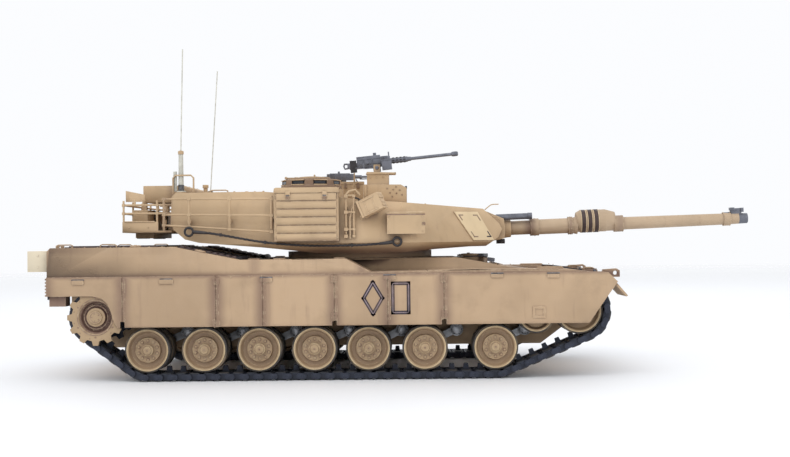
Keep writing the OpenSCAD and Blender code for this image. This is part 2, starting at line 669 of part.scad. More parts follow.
// Rack behind the bustle, with a tray, a roll and a box in it, and the side rails of the bustle
module bustle_rack() {
    back_x = -250;
    end_y = 73;
    rail_r = 0.9;
    rail_z = [146.5, 154];
    top_z = 158;
    post_x = [-211, -188.5, -152.3, -115];
    // Height of each side rail at the first and at the last post
    side_rails = [[158.6, 157.4], [144.8, 143], [135.5, 128.7]];
    color(turret_sand) {
        // Tray with drain slots
        difference() {
            block([back_x - 1, -end_y - 1, 129.4], [-207, end_y + 1, 139]);
            block([back_x + 0.4, -end_y + 0.2, 131], [-200, end_y - 0.2, 140]);
            both_sides() block([-219, end_y - 1, 131], [-200, end_y + 2, 140]);
            for (i = [0:8]) block([-230, -66 + 15 * i, 129], [-214, -59 + 15 * i, 133]);
        }
        // Uprights and rails across the back and the ends
        for (y = [-end_y, -37, 0, 37, end_y]) rod([back_x, y, 131], [back_x, y, top_z], rail_r, 16);
        for (z = rail_z) rod([back_x, -end_y, z], [back_x, end_y, z], rail_r, 16);
        both_sides() {
            for (z = rail_z) rod([back_x, end_y, z], [-206.8, end_y, z], rail_r, 16);
            rod([-220, end_y, 131], [-220, end_y, top_z], rail_r, 16);
            // Plates over the ends
            slab([[-248, 157], [-231, 157], [-231, 163.4], [-248, 167]], end_y - 1.6, end_y - 0.2);
            rod([-240, end_y - 0.6, 153.6], [-240, end_y - 0.6, 158], rail_r, 16);
            // Side rails of the bustle, on posts
            for (rail = side_rails)
                rod([post_x[0], 87, rail[0]], [post_x[3], 95.4, rail[1]], rail_r, 16);
            for (x = post_x) {
                w = 87.2 + (x + 211) * 0.0875;
                rod([x, w, 131], [x, w, 160], 1.1, 16);
                block([x - 1.4, w - 6, 137], [x + 1.4, w - 0.2, 140]);
            }
        }
        // Roll in the tray, box above it and plinth below it
        block([-245, -58, 131.1], [-232, 58, 150]);
        slab([[-236, 157], [-207.4, 157], [-207.4, 164.9], [-198, 164.9], [-198, 170.6], [-199.4, 172],
              [-236, 172]], -56, 56);
        for (y = [-50, 50]) block([-238, y - 2, 149], [-234, y + 2, 158]);
        block([-247, -40, 124.8], [-230, 40, 129.5]);
    }
}

// Commander's cupola: a ring with vision blocks
module cupola() {
    color(turret_sand) {
        translate([cupola_at[0], cupola_at[1], 167.7]) difference() {
            union() {
                cylinder(h = 3.2, r = 28, $fn = round_fn);
                translate([0, 0, 3]) rotate_extrude($fn = round_fn)
                    polygon([[17, 0], [27.2, 0], [26.8, 5.2], [25.6, 6], [17, 6]]);
            }
            translate([0, 0, -1]) cylinder(h = 12, r = 17, $fn = round_fn);
            for (i = [0:7]) rotate(45 * i + 22.5) translate([25, -6.4, 3.9]) cube([4, 12.8, 4]);
        }
    }
    color(lens_glass) for (i = [0:7]) translate([cupola_at[0], cupola_at[1], 167.7]) rotate(45 * i + 22.5)
        translate([24.4, -5.2, 4.4]) cube([1.2, 10.4, 3]);
}

// Sights, smoke launchers, wind sensor and small fittings of the turret
module turret_fittings() {
    rail_y = 93.1;
    color(turret_sand) {
        // Gunner's sight, its head and its open lid
        difference() {
            slab([[-36, 156.46], [-15, 154.56], [3, 153.36], [3, 168], [-2, 171], [-36, 171.4]], -46, -22);
            block([-8, -43, 158], [4, -25, 168.4]);
        }
        block([-33, -44, 171.2], [-13, -24, 181]);
        slab([[-34, 180.9], [-7, 180.9], [-7, 182.2], [-33, 183]], -45, -23);
        // Ears that hold the heavy machine gun, and the pedestal of the loader's gun
        difference() {
            for (y = [-5.1, 3.5]) block([mg_pivot[0] - 3, mg_pivot[1] + y, 180.9],
                                        [mg_pivot[0] + 3, mg_pivot[1] + y + 1.6, mg_pivot[2] + 3]);
            rod_y([mg_pivot[0], mg_pivot[2]], mg_pin_r + running_gap, mg_pivot[1] - 8, mg_pivot[1] + 8, 24);
        }
        translate([lmg_at[0], lmg_at[1], lmg_foot_z]) difference() {
            cylinder(h = lmg_post_z - lmg_foot_z, r = 2.6);
            translate([0, 0, lmg_post_z - lmg_foot_z - 6])
                cylinder(h = 7, r = lmg_pin_r + running_gap, $fn = 24);
        }
        // Wind sensor
        translate([-189, 0, 165.9]) cylinder(h = 2.4, r = 4);
        translate([-189, 0, 168.2]) cylinder(h = 4, r = 2);
        translate([-189, 0, 172.1]) cylinder(h = 3, r = 2.8);
        // Smoke launchers, two rows of three tubes on a bracket
        both_sides() {
            block([-36, 87.2, 144], [-22, 90.7, 155]);
            translate([-27, 97.4, 151]) rotate([0, -24, 20]) difference() {
                translate([-10.5, -5.4, -7.4]) cube([21, 10.8, 14.8]);
                for (z = [-3.7, 3.5], y = [-3.4, 0, 3.4]) translate([3, y, z]) rotate([0, 90, 0])
                    cylinder(h = 10, r = 1.4, $fn = 16);
            }
            // Small rail beside the launchers
            for (x = [-50, -43]) rod([x, rail_y, 122], [x, rail_y, 160], 0.9, 16);
            for (z = [130, 145, 159.6]) rod([-50, rail_y, z], [-43, rail_y, z], 0.8, 16);
            for (foot = [[128.4, 90.2], [148, 86.5]])
                block([-51, foot[1], foot[0]], [-49, rail_y, foot[0] + 2]);
        }
        // Ammunition box beside the heavy gun
        slab([[-60, 158.75], [-38, 156.75], [-38, 176], [-60, 176]], -3, 5);
    }
    color(charcoal) {
        block([-7.9, -42, 158.6], [-7, -26, 167.6]);
        translate([-46, -14, 157.6]) cylinder(h = 29.4, r1 = 1.4, r2 = 0.5, $fn = 16);
    }
}

module antennas() {
    // Foot [x, y], height of the base, its radius at the foot and at the top
    bases = [[-199.2, -68, 36, 2.4, 2], [-196, 68.8, 6, 2.8, 1.8]];
    leans = [1.5, 3.8];
    whip_r = 0.55;
    color(steel) for (i = [0, 1]) {
        b = bases[i];
        base_h = b[2];
        lean = leans[i];
        translate([b[0], b[1], bustle_roof_z]) {
            cylinder(h = 2, r = 4.4);
            translate([0, 0, 1.9]) cylinder(h = base_h, r1 = b[3], r2 = b[4]);
            translate([0, 0, base_h]) rotate([0, lean, 0])
                cylinder(h = (antenna_top_z - bustle_roof_z - base_h) / cos(lean), r = whip_r, $fn = 12);
        }
    }
}

// Tow cable along each side of the turret, an eye at each end
cable_r = 1.15;
cable_route = [
    [-181, 92.4, 129], [-170, 93.4, 128], [-158, 94.2, 126], [-144, 95, 123.4], [-130, 95, 120.8],
    [-116, 95, 118.8], [-100, 95, 117.2], [-84, 95, 116.2], [-68, 95, 115.8], [-52, 95, 115.9],
    [-36, 95.2, 116.2], [-22, 95, 117], [-12, 94.2, 118]
];

module tow_cables() {
    color(charcoal) both_sides() {
        tube(cable_route, cable_r);
        for (end = [[-188, 92.6, 129.4], [-5.4, 93.6, 118.8]])
            translate(end) rotate([90, 0, 0]) difference() {
                cylinder(h = 2.2, r = 4.6, center = true, $fn = 24);
                cylinder(h = 4, r = 2.4, center = true, $fn = 24);
            }
        rod([-184.2, 92.3, 129.3], [-175, 93, 128.6], 1.6, 16);
        rod([-9.4, 93.8, 118.4], [-18, 95, 117.4], 1.6, 16);
    }
}

// ---------------------------------------------------------------- gun

// Puts the gun's own line (+X from the trunnion) at its place
module along_gun() {
    translate([gun_root_x, 0, gun_root_z]) rotate([0, -gun_rise, 0]) children();
}

// A round stretch of the gun from a to b along its line
module gun_stretch(a, b, d1, d2, lift = 0) {
    translate([a, 0, lift]) rotate([0, 90, 0]) cylinder(h = b - a, d1 = d1, d2 = d2, $fn = round_fn);
}

module gun_mantlet() {
    half = slot_half_w - 0.4;
    color(turret_sand) {
        difference() {
            union() {
                // Block that fills the slot, rounded about the trunnion
                intersection() {
                    rod_y([trunnion[0], trunnion[2]], 63, -half, half, round_fn);
                    slab([[24, 119], [70, 115.6], [96, 121], [97, 138], [76, 147], [44, 149.8], [34, 144],
                          [24, 143.6]], -half, half);
                }
                // Root of the barrel sleeve and the sight tube above it
                along_gun() gun_stretch(-6, 8, 20, 17);
                // Trunnions
                rod_y([trunnion[0], trunnion[2]], shaft_r, -slot_half_w - 5.6, slot_half_w + 5.6);
            }
            along_gun() gun_stretch(-70, 10, 13.4, 13.4);
        }
    }
    color(gun_grey) {
        along_gun() translate([-6, -8, 10.6]) rotate([0, 90, 0]) cylinder(h = 34, r = 2.9);
        translate([88, 0, 118]) rotate([0, 90, 0]) cylinder(h = 8, r = 2.2, $fn = 6);
    }
}

module gun_barrel() {
    lift = 3.6;
    muzzle_along = (muzzle_x - gun_root_x) / cos(gun_rise) - 0.2;
    color(turret_sand) along_gun() difference() {
        union() {
            gun_stretch(-60, 8.2, 13.2, 13.2);
            gun_stretch(8, 27, 13.3, 13.3);
            gun_stretch(26.9, 34.5, 16.3, 16.3);
            gun_stretch(34.4, 63, 14.3, 14.3);
            gun_stretch(62.9, 66.6, 16.6, 16.6);
            gun_stretch(66.5, 71, 14.6, 17);
            // Bore evacuator, higher than the barrel
            gun_stretch(70.4, 74, 17, 21, lift);
            gun_stretch(73.9, 98, 21, 21, lift);
            gun_stretch(97.9, 107, 21, 15.5, lift);
            for (x = [75, 81, 87]) gun_stretch(x, x + 3.6, 21.8, 21.8, lift);
            gun_stretch(70, 114.5, 13, 13);
            gun_stretch(106, 114.5, 15.5, 15.5);
            gun_stretch(114.4, 210, 12, 10.7);
            gun_stretch(209.9, 216, 12.8, 12.8);
            gun_stretch(215.9, muzzle_along, 10.4, 9.6);
            // Muzzle reference bracket
            translate([217, -2.2, 4]) cube([10, 4.4, 5.6]);
            translate([216.4, -2.8, 8]) cube([4, 5.6, 2.6]);
        }
        translate([muzzle_along - 40, 0, 0]) rotate([0, 90, 0]) cylinder(h = 42, r = muzzle_bore_r);
    }
}

// ---------------------------------------------------------------- hatches and machine guns

// A round hatch lid that hinges on two lugs at its rear edge
module hatch_lid(at, r, hinge_x, lug_offsets) {
    color(turret_sand) {
        translate(at) cylinder(h = 1.6, r = r, $fn = round_fn);
        translate([at[0], at[1], at[2] + 1.5]) cylinder(h = 0.9, r = 0.62 * r, $fn = round_fn);
        for (y = lug_offsets)
            block([hinge_x, at[1] + y - 1.5, at[2]], [at[0] - 0.8 * r, at[1] + y + 1.5, at[2] + 1.7]);
        rod_y([hinge_x, at[2] + hatch_hinge_up], 1.2, at[1] - 11, at[1] + 11, 24);
    }
}

module commander_hatch() {
    hatch_lid([cupola_at[0], cupola_at[1], 177], 17.6, -107.4, [-8.5, 8.5]);
}

module loader_hatch() {
    hatch_lid([loader_at[0], loader_at[1], 165.7], 19, -105.6, [-8.5, 8.5]);
}

// Heavy machine gun on the commander's station: pivot, receiver, barrel and ammunition box
module heavy_machine_gun() {
    rise = 5.5;
    color(gun_grey) {
        translate(mg_pivot) rotate([0, -rise, 0]) {
            difference() {
                translate([-25, -3, 1]) cube([38, 6, 9]);
                translate([-26, -4, 6.5]) cube([8, 8, 6]);
            }
            translate([-18, -2.4, 9.8]) cube([22, 4.8, 2.2]);
            translate([-27, -2.8, 2]) cube([3, 5.6, 5]);
            translate([13, 0, 5.4]) rotate([0, 90, 0]) cylinder(h = 16, r = 2.6);
            translate([28, 0, 5.4]) rotate([0, 90, 0]) cylinder(h = 48, r = 1.5, $fn = 24);
            translate([70, 0, 5.4]) rotate([0, 90, 0]) cylinder(h = 5.6, r = 2.1, $fn = 24);
            translate([-2.6, -2.8, -2.6]) cube([5.2, 5.6, 5]);
            // Ammunition box on its feed chute
            translate([5, -12.2, -3]) cube([9, 6.8, 9]);
            translate([7, -5.5, 2]) cube([5, 2.8, 3]);
        }
        rod_y([mg_pivot[0], mg_pivot[2]], mg_pin_r, mg_pivot[1] - 5.4, mg_pivot[1] + 5.4, 24);
    }
}

module loader_machine_gun() {
    color(gun_grey) translate([lmg_at[0], lmg_at[1], lmg_post_z]) {
        translate([0, 0, -5]) cylinder(h = 5.4, r = lmg_pin_r, $fn = 24);
        translate([0, 0, 0.3]) cylinder(h = 11, r = 1.6, $fn = 24);
        translate([-17, -2.4, 11]) cube([28, 4.8, 6.4]);
        translate([-22, -1.2, 11.6]) cube([6, 2.4, 3.4]);
        translate([10, 0, 14.4]) rotate([0, 90, 0]) cylinder(h = 18, r = 1.1, $fn = 24);
        translate([10, 0, 14.4]) rotate([0, 90, 0]) cylinder(h = 8, r = 1.8, $fn = 24);
        translate([-9, 2.3, 8]) cube([11, 6, 7]);
    }
}

// ---------------------------------------------------------------- drawing

function wanted(name) = node == "all" || node == name;

if (wanted("lower_hull")) lower_hull();
if (wanted("upper_hull")) upper_hull();
if (wanted("deck_grilles")) deck_grilles();
if (wanted("hull_fittings")) hull_fittings();
if (wanted("lamps")) lamps();
if (wanted("driver_hatch")) driver_hatch();
if (wanted("battery_pack")) battery_pack();
if (wanted("drive_gearboxes")) drive_gearboxes();
if (wanted("control_board")) control_board();
if (wanted("turret_shell")) turret_shell();
if (wanted("stowage_bins")) stowage_bins();
if (wanted("bustle_rack")) bustle_rack();
if (wanted("cupola")) cupola();
if (wanted("turret_fittings")) turret_fittings();
if (wanted("antennas")) antennas();
if (wanted("tow_cables")) tow_cables();
if (wanted("gun_mantlet")) gun_mantlet();
if (wanted("gun_barrel")) gun_barrel();
if (wanted("commander_hatch")) commander_hatch();
if (wanted("loader_hatch")) loader_hatch();
if (wanted("heavy_machine_gun")) heavy_machine_gun();
if (wanted("loader_machine_gun")) loader_machine_gun();
for (side = SIDES) {
    if (wanted(str(side, "_skirt"))) skirt(side);
    if (wanted(str(side, "_track"))) track(side);
    if (wanted(str(side, "_sprocket"))) sprocket(side);
    if (wanted(str(side, "_idler"))) double_wheel(side, idler_at, idler_r, wheel_bolts);
    if (wanted(str(side, "_roller"))) double_wheel(side, roller_at, roller_r, 0);
    for (i = WHEELS) {
        if (wanted(str(side, "_wheel_", i)))
            double_wheel(side, [wheel_x[i - 1], axle_z], wheel_r, wheel_bolts);
        if (wanted(str(side, "_arm_", i))) swing_arm(side, i);
    }
}
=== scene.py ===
"""Looks of the radio-controlled tank: finishes for the CAD nodes and finer pieces around them.

Lengths are in metres in the row frame: +X forward, +Y left, +Z up, ground at z = 0.
"""
import math

import bmesh
import bpy
from mathutils import Matrix, Vector


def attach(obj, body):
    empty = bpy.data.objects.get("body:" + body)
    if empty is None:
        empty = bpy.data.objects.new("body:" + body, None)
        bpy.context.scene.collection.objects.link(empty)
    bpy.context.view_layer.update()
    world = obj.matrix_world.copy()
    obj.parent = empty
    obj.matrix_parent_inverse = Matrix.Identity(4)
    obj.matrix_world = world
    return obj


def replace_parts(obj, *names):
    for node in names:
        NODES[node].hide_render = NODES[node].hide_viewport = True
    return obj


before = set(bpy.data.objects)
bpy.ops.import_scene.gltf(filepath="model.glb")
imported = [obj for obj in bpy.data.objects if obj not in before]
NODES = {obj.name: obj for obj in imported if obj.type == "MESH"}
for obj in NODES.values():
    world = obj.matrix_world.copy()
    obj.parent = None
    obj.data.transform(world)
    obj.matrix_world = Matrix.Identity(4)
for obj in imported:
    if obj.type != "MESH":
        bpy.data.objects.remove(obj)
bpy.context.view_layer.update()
MM = 0.001

SIDES = {"right": -1, "left": 1}
WHEEL_NUMBERS = range(1, 8)


def mm(*values):
    """A vector from millimetres."""
    return Vector([v * MM for v in values])


# ---------------------------------------------------------------- camera and light

LENS = 53.73
CAMERA_AT = (6.2, -1124, 117.7)
# Pitch, roll and yaw in degrees away from looking straight along +Y
CAMERA_TURN = (0.695, 0.674, 0.745)


def make_camera():
    """Camera square on to the right side, low down, at the picture's angle."""
    data = bpy.data.cameras.new("camera")
    data.sensor_width = 36
    data.lens = LENS
    data.clip_start = 0.05
    data.clip_end = 50
    camera = bpy.data.objects.new("camera", data)
    bpy.context.scene.collection.objects.link(camera)
    camera.location = mm(*CAMERA_AT)
    pitch, roll, yaw = CAMERA_TURN
    look = Matrix.Rotation(math.radians(yaw), 4, "Z") @ Matrix.Rotation(math.radians(90 + pitch), 4, "X")
    camera.matrix_world = (Matrix.Translation(camera.location) @ look
                           @ Matrix.Rotation(math.radians(-roll), 4, "Z"))
    bpy.context.scene.camera = camera


def area_light(name, location, target, size, power, colour=(1, 1, 1)):
    """A soft rectangular light aimed at a point."""
    data = bpy.data.lights.new(name, "AREA")
    data.shape = "RECTANGLE"
    data.size, data.size_y = size
    data.energy = power
    data.color = colour
    light = bpy.data.objects.new(name, data)
    bpy.context.scene.collection.objects.link(light)
    light.location = location
    light.rotation_euler = (Vector(target) - Vector(location)).to_track_quat("-Z", "Y").to_euler()


def make_studio():
    """White world, soft lights and a pale floor that fades into the world far away."""
    bpy.context.scene.view_settings.view_transform = "Standard"
    world = bpy.data.worlds.new("studio")
    bpy.context.scene.world = world
    world.use_nodes = True
    background = world.node_tree.nodes["Background"]
    background.inputs["Color"].default_value = (0.97, 0.98, 1.0, 1)
    background.inputs["Strength"].default_value = 1.0
    area_light("key", (-0.5, -1.3, 1.7), (0, 0, 0.08), (1.6, 1.2), 12)
    area_light("front", (1.5, -1.2, 0.9), (0.1, 0, 0.1), (1.2, 0.9), 3, (1, 0.98, 0.95))
    area_light("back", (0.2, 1.6, 1.5), (0, 0, 0.1), (2.0, 1.0), 6, (0.95, 0.97, 1))

    size = 14
    mesh = bpy.data.meshes.new("floor")
    mesh.from_pydata([(-size, -size, 0), (size, -size, 0), (size, size, 0), (-size, size, 0)], [], [(0, 1, 2, 3)])
    floor = bpy.data.objects.new("floor", mesh)
    bpy.context.scene.collection.objects.link(floor)
    material = bpy.data.materials.new("floor_white")
    material.use_nodes = True
    tree = material.node_tree
    shader = tree.nodes["Principled BSDF"]
    shader.inputs["Base Color"].default_value = (0.86, 0.87, 0.89, 1)
    shader.inputs["Roughness"].default_value = 0.6
    shader.inputs["Specular IOR Level"].default_value = 0.2
    coords = tree.nodes.new("ShaderNodeTexCoord")
    length = tree.nodes.new("ShaderNodeVectorMath")
    length.operation = "LENGTH"
    fade = tree.nodes.new("ShaderNodeMapRange")
    fade.inputs["From Min"].default_value = 1.2
    fade.inputs["From Max"].default_value = 5.0
    clear = tree.nodes.new("ShaderNodeBsdfTransparent")
    mix = tree.nodes.new("ShaderNodeMixShader")
    tree.links.new(coords.outputs["Object"], length.inputs[0])
    tree.links.new(length.outputs["Value"], fade.inputs["Value"])
    tree.links.new(fade.outputs["Result"], mix.inputs["Fac"])
    tree.links.new(shader.outputs[0], mix.inputs[1])
    tree.links.new(clear.outputs[0], mix.inputs[2])
    tree.links.new(mix.outputs[0], tree.nodes["Material Output"].inputs["Surface"])
    mesh.materials.append(material)


# ---------------------------------------------------------------- materials

def linear(colour):
    """An sRGB colour in 0-255 as a linear RGBA tuple."""
    out = []
    for c in colour:
        c /= 255
        out.append(c / 12.92 if c <= 0.04045 else ((c + 0.055) / 1.055) ** 2.4)
    return (*out, 1.0)


class Graph:
    """A material's nodes, made with short calls."""

    def __init__(self, name):
        self.material = bpy.data.materials.new(name)
        self.material.use_nodes = True
        self.tree = self.material.node_tree
        self.shader = self.tree.nodes["Principled BSDF"]
        self.coords = self.tree.nodes.new("ShaderNodeTexCoord").outputs["Object"]

    def put(self, socket, value):
        if isinstance(value, bpy.types.NodeSocket):
            self.tree.links.new(value, socket)
        else:
            socket.default_value = value

    def math(self, operation, a, b=0.0, clamp=False):
        node = self.tree.nodes.new("ShaderNodeMath")
        node.operation = operation
        node.use_clamp = clamp
        self.put(node.inputs[0], a)
        self.put(node.inputs[1], b)
        return node.outputs[0]

    def ramp(self, value, low, high, out_low=0.0, out_high=1.0):
        node = self.tree.nodes.new("ShaderNodeMapRange")
        node.interpolation_type = "SMOOTHSTEP"
        for name, v in (("Value", value), ("From Min", low), ("From Max", high),
                        ("To Min", out_low), ("To Max", out_high)):
            self.put(node.inputs[name], v)
        return node.outputs["Result"]

    def noise(self, scale, detail=4.0, stretch=None, roughness=0.55):
        node = self.tree.nodes.new("ShaderNodeTexNoise")
        node.inputs["Scale"].default_value = scale
        node.inputs["Detail"].default_value = detail
        node.inputs["Roughness"].default_value = roughness
        source = self.coords
        if stretch:
            mapping = self.tree.nodes.new("ShaderNodeMapping")
            mapping.inputs["Scale"].default_value = stretch
            self.tree.links.new(source, mapping.inputs["Vector"])
            source = mapping.outputs["Vector"]
        self.tree.links.new(source, node.inputs["Vector"])
        return node.outputs["Fac"]

    def mix(self, factor, a, b):
        node = self.tree.nodes.new("ShaderNodeMix")
        node.data_type = "RGBA"
        self.put(node.inputs["Factor"], factor)
        self.put(node.inputs["A"], a)
        self.put(node.inputs["B"], b)
        return node.outputs["Result"]

    def axis(self, name):
        if not hasattr(self, "split"):
            self.split = self.tree.nodes.new("ShaderNodeSeparateXYZ")
            self.tree.links.new(self.coords, self.split.inputs[0])
        return self.split.outputs[name]

    def band(self, name, centre, width, strength):
        """A soft band about a place on an axis, in millimetres."""
        away = self.math("ABSOLUTE", self.math("SUBTRACT", self.axis(name), centre * MM))
        return self.ramp(away, width * MM, 0.0, 0.0, strength)

    def edges(self, radius, low=0.0002, high=0.06):
        """1 on worn edges, from how far a bevelled normal leaves the true one."""
        bevel = self.tree.nodes.new("ShaderNodeBevel")
        bevel.samples = 4
        bevel.inputs["Radius"].default_value = radius
        geometry = self.tree.nodes.new("ShaderNodeNewGeometry")
        dot = self.tree.nodes.new("ShaderNodeVectorMath")
        dot.operation = "DOT_PRODUCT"
        self.tree.links.new(bevel.outputs[0], dot.inputs[0])
        self.tree.links.new(geometry.outputs["Normal"], dot.inputs[1])
        return self.ramp(self.math("SUBTRACT", 1.0, dot.outputs["Value"]), low, high)

    def occlusion_shade(self, distance):
        """Ambient occlusion mask for painted shade: 1 in creases and shaded corners, 0 in the open."""
        node = self.tree.nodes.new("ShaderNodeAmbientOcclusion")
        node.samples = 4
        node.inputs["Distance"].default_value = distance
        return self.ramp(node.outputs["AO"], 0.95, 0.35)

    def bump(self, height, distance, strength=1.0):
        node = self.tree.nodes.new("ShaderNodeBump")
        node.inputs["Strength"].default_value = strength
        node.inputs["Distance"].default_value = distance
        self.tree.links.new(height, node.inputs["Height"])
        self.tree.links.new(node.outputs["Normal"], self.shader.inputs["Normal"])

    def finish(self, colour, roughness, metallic=0.0):
        self.put(self.shader.inputs["Base Color"], colour)
        self.put(self.shader.inputs["Roughness"], roughness)
        self.put(self.shader.inputs["Metallic"], metallic)
        return self.material


# Colour of the airbrushed bands and streaks, also used for the painted shade in creases
AIRBRUSH_AND_SHADE = (104, 78, 70)


def sand_paint(name, base, bands=(), crease_shade=0.75, wash=0.35, worn=(226, 206, 172), shade=AIRBRUSH_AND_SHADE):
    """Matt sand paint with airbrushed bands, painted shade in creases from an occlusion mask, faint streaks and pale
    worn edges.
    """
    g = Graph(name)
    light = linear([min(255, c * 1.07 + 4) for c in base])
    dull = linear([c * 0.9 for c in base])
    colour = g.mix(g.ramp(g.noise(14, 3), 0.35, 0.65), linear(base), light)
    colour = g.mix(g.ramp(g.noise(46, 4), 0.5, 0.8, 0, 0.5), colour, dull)
    streak = g.ramp(g.noise(60, 3, (3.0, 3.0, 0.35)), 0.55, 0.8, 0, wash)
    colour = g.mix(streak, colour, linear([0.55 * a + 0.45 * b for a, b in zip(base, shade)]))
    # Painted shade in creases from the occlusion mask; the airbrushed bands are added on top of it below
    dark = g.math("MULTIPLY", g.occlusion_shade(0.007), crease_shade)
    for axis, centre, width, strength in bands:
        dark = g.math("MAXIMUM", dark, g.band(axis, centre, width, strength))
    dark = g.math("MULTIPLY", dark, g.ramp(g.noise(38, 4), 0.2, 0.6, 0.7, 1.0), True)
    colour = g.mix(dark, colour, linear(shade))
    wear = g.math("MULTIPLY", g.edges(0.0006), g.ramp(g.noise(240, 3), 0.42, 0.62))
    colour = g.mix(g.math("MULTIPLY", wear, 0.55), colour, linear(worn))
    g.bump(g.noise(900, 3), 0.00012, 0.35)
    return g.finish(colour, g.ramp(g.noise(90, 3), 0.3, 0.7, 0.58, 0.74))


def dark_rubber(name, base=(40, 42, 47), dust=(122, 108, 92), amount=0.4):
    """Black rubber or plastic with pale dust on its open faces; an occlusion mask keeps the dust out of creases,
    which leaves painted shade there.
    """
    g = Graph(name)
    colour = g.mix(g.ramp(g.noise(120, 4), 0.3, 0.7), linear(base), linear([c * 1.35 for c in base]))
    # Dust only where the occlusion mask finds open faces: the undusted creases stay dark as painted shade
    open_faces = g.math("SUBTRACT", 1.0, g.occlusion_shade(0.004))
    dusty = g.math("MULTIPLY", g.ramp(g.noise(55, 5), 0.45, 0.75, 0, amount), open_faces)
    colour = g.mix(dusty, colour, linear(dust))
    rubbed = g.math("MULTIPLY", g.edges(0.0004), g.ramp(g.noise(300, 2), 0.4, 0.6, 0, 0.5))
    colour = g.mix(rubbed, colour, linear([c * 2.0 for c in base]))
    g.bump(g.noise(700, 4), 0.0002, 0.4)
    return g.finish(colour, g.ramp(g.noise(150, 3), 0.3, 0.7, 0.55, 0.8))


def metal(name, base, roughness=(0.3, 0.5), metallic=0.85, crease_shade_colour=(48, 40, 34), amount=0.6):
    """Bare or painted metal with painted shade in its creases, from an occlusion mask, and bright edges."""
    g = Graph(name)
    colour = g.mix(g.ramp(g.noise(160, 4), 0.3, 0.7), linear(base), linear([min(255, c * 1.15) for c in base]))
    # Painted shade: darkened towards a dark brown where the occlusion mask finds creases
    colour = g.mix(g.math("MULTIPLY", g.occlusion_shade(0.004), amount), colour, linear(crease_shade_colour))
    rubbed = g.math("MULTIPLY", g.edges(0.0004), g.ramp(g.noise(320, 2), 0.4, 0.6, 0, 0.6))
    colour = g.mix(rubbed, colour, linear([min(255, c * 1.6 + 20) for c in base]))
    g.bump(g.noise(800, 3), 0.0001, 0.3)
    return g.finish(colour, g.ramp(g.noise(200, 3), 0.3, 0.7, *roughness), metallic)


def glossy(name, base, roughness=0.12):
    """Smooth dark plastic or glass, faintly dusty."""
    g = Graph(name)
    colour = g.mix(g.ramp(g.noise(80, 4), 0.5, 0.8, 0, 0.35), linear(base), linear((110, 104, 96)))
    g.bump(g.noise(400, 2), 0.00005, 0.2)
    return g.finish(colour, g.ramp(g.noise(110, 4), 0.45, 0.8, roughness, roughness + 0.35))


SEAMS = (-242, -161.5, -121.3, -59.7, -14, 34.3)
HULL = (171, 145, 116)
TURRET = (180, 154, 121)
WHEEL = (160, 136, 106)

skirt_bands = [("X", x, 11, 0.66) for x in SEAMS]
skirt_bands += [("Z", 92.5, 5, 0.8), ("X", -309, 13, 0.6), ("Z", 46, 4, 0.3)]
hull_bands = [("Z", 88.5, 8, 0.9), ("X", -309, 8, 0.45), ("X", -128, 9, 0.35), ("X", -36, 8, 0.5)]
turret_bands = [("Z", 110, 8, 0.8), ("X", -110, 6, 0.3), ("X", -210, 7, 0.4)]

PAINT = {
    "hull": sand_paint("hull_sand", HULL, hull_bands),
    "skirt": sand_paint("skirt_sand", HULL, skirt_bands),
    "turret": sand_paint("turret_sand", TURRET, turret_bands, crease_shade=0.6, wash=0.25),
    "barrel": sand_paint("barrel_sand", (172, 150, 124),
                         [("X", 119, 9, 0.75), ("X", 158, 5, 0.5), ("X", 205, 8, 0.5)],
                         crease_shade=0.5),
    "bin": sand_paint("bin_sand", TURRET, [("Z", 120, 5, 0.45)], crease_shade=1.0, wash=0.3),
    "wheel": sand_paint("wheel_sand", WHEEL, crease_shade=0.6, worn=(222, 204, 164)),
    "cream": sand_paint("cream_paint", (206, 194, 170), crease_shade=0.5, wash=0.2),
    "track": dark_rubber("track_rubber"),
    "tyre": dark_rubber("tyre_rubber", (52, 48, 46), (150, 130, 104), 0.75),
    "grille": dark_rubber("grille_black", (62, 50, 50), (150, 128, 108), 0.4),
    "cable": dark_rubber("cable_black", (38, 36, 38), (100, 90, 80), 0.25),
    "arm": metal("arm_metal", (156, 158, 162)),
    "gun": metal("gun_metal", (98, 100, 108), (0.38, 0.55), 0.5),
    "antenna": metal("antenna_grey", (178, 176, 166), (0.4, 0.6), 0.2),
    "glass": glossy("vision_glass", (24, 30, 42)),
    "lens": glossy("lamp_lens", (150, 156, 160), 0.08),
    "cell": glossy("cell_sleeve", (40, 84, 150), 0.25),
    "gearbox": metal("gearbox_grey", (84, 86, 90)),
    "board": glossy("board_green", (26, 92, 48), 0.3),
    "link": metal("link_metal", (42, 46, 58), (0.45, 0.65), 0.35, (26, 26, 30)),
    "arm_dark": metal("arm_metal_dark", (84, 84, 88), (0.4, 0.6), 0.6),
    "rim": sand_paint("rim_sand", (190, 168, 130), crease_shade=0.5, wash=0.15, worn=(226, 208, 172)),
    "wheel_dark": sand_paint("wheel_sand_dark", (128, 104, 84), crease_shade=0.9, wash=0.3),
    "dish": sand_paint("dish_brown", (132, 108, 92), crease_shade=0.9, wash=0.4),
    "hull_dark": sand_paint("hull_sand_dark", (128, 104, 88), crease_shade=0.9, wash=0.4),
    "mark_line": dark_rubber("mark_grey", (112, 100, 104), (150, 124, 100), 0.2),
    "band": metal("band_dark", (62, 48, 46), (0.5, 0.7), 0.1),
    "red": glossy("lens_red", (150, 24, 24), 0.2),
    "brass": metal("cartridge_brass", (178, 142, 74), (0.25, 0.4), 0.9),
    "pale": sand_paint("pale_panel", (206, 184, 148), crease_shade=0.3, wash=0.1, worn=(230, 214, 184)),
    "cloth": dark_rubber("slope_cloth", (30, 29, 34), (70, 64, 62), 0.15),
    "mark": dark_rubber("mark_black", (44, 36, 42), (150, 124, 100), 0.3),
}

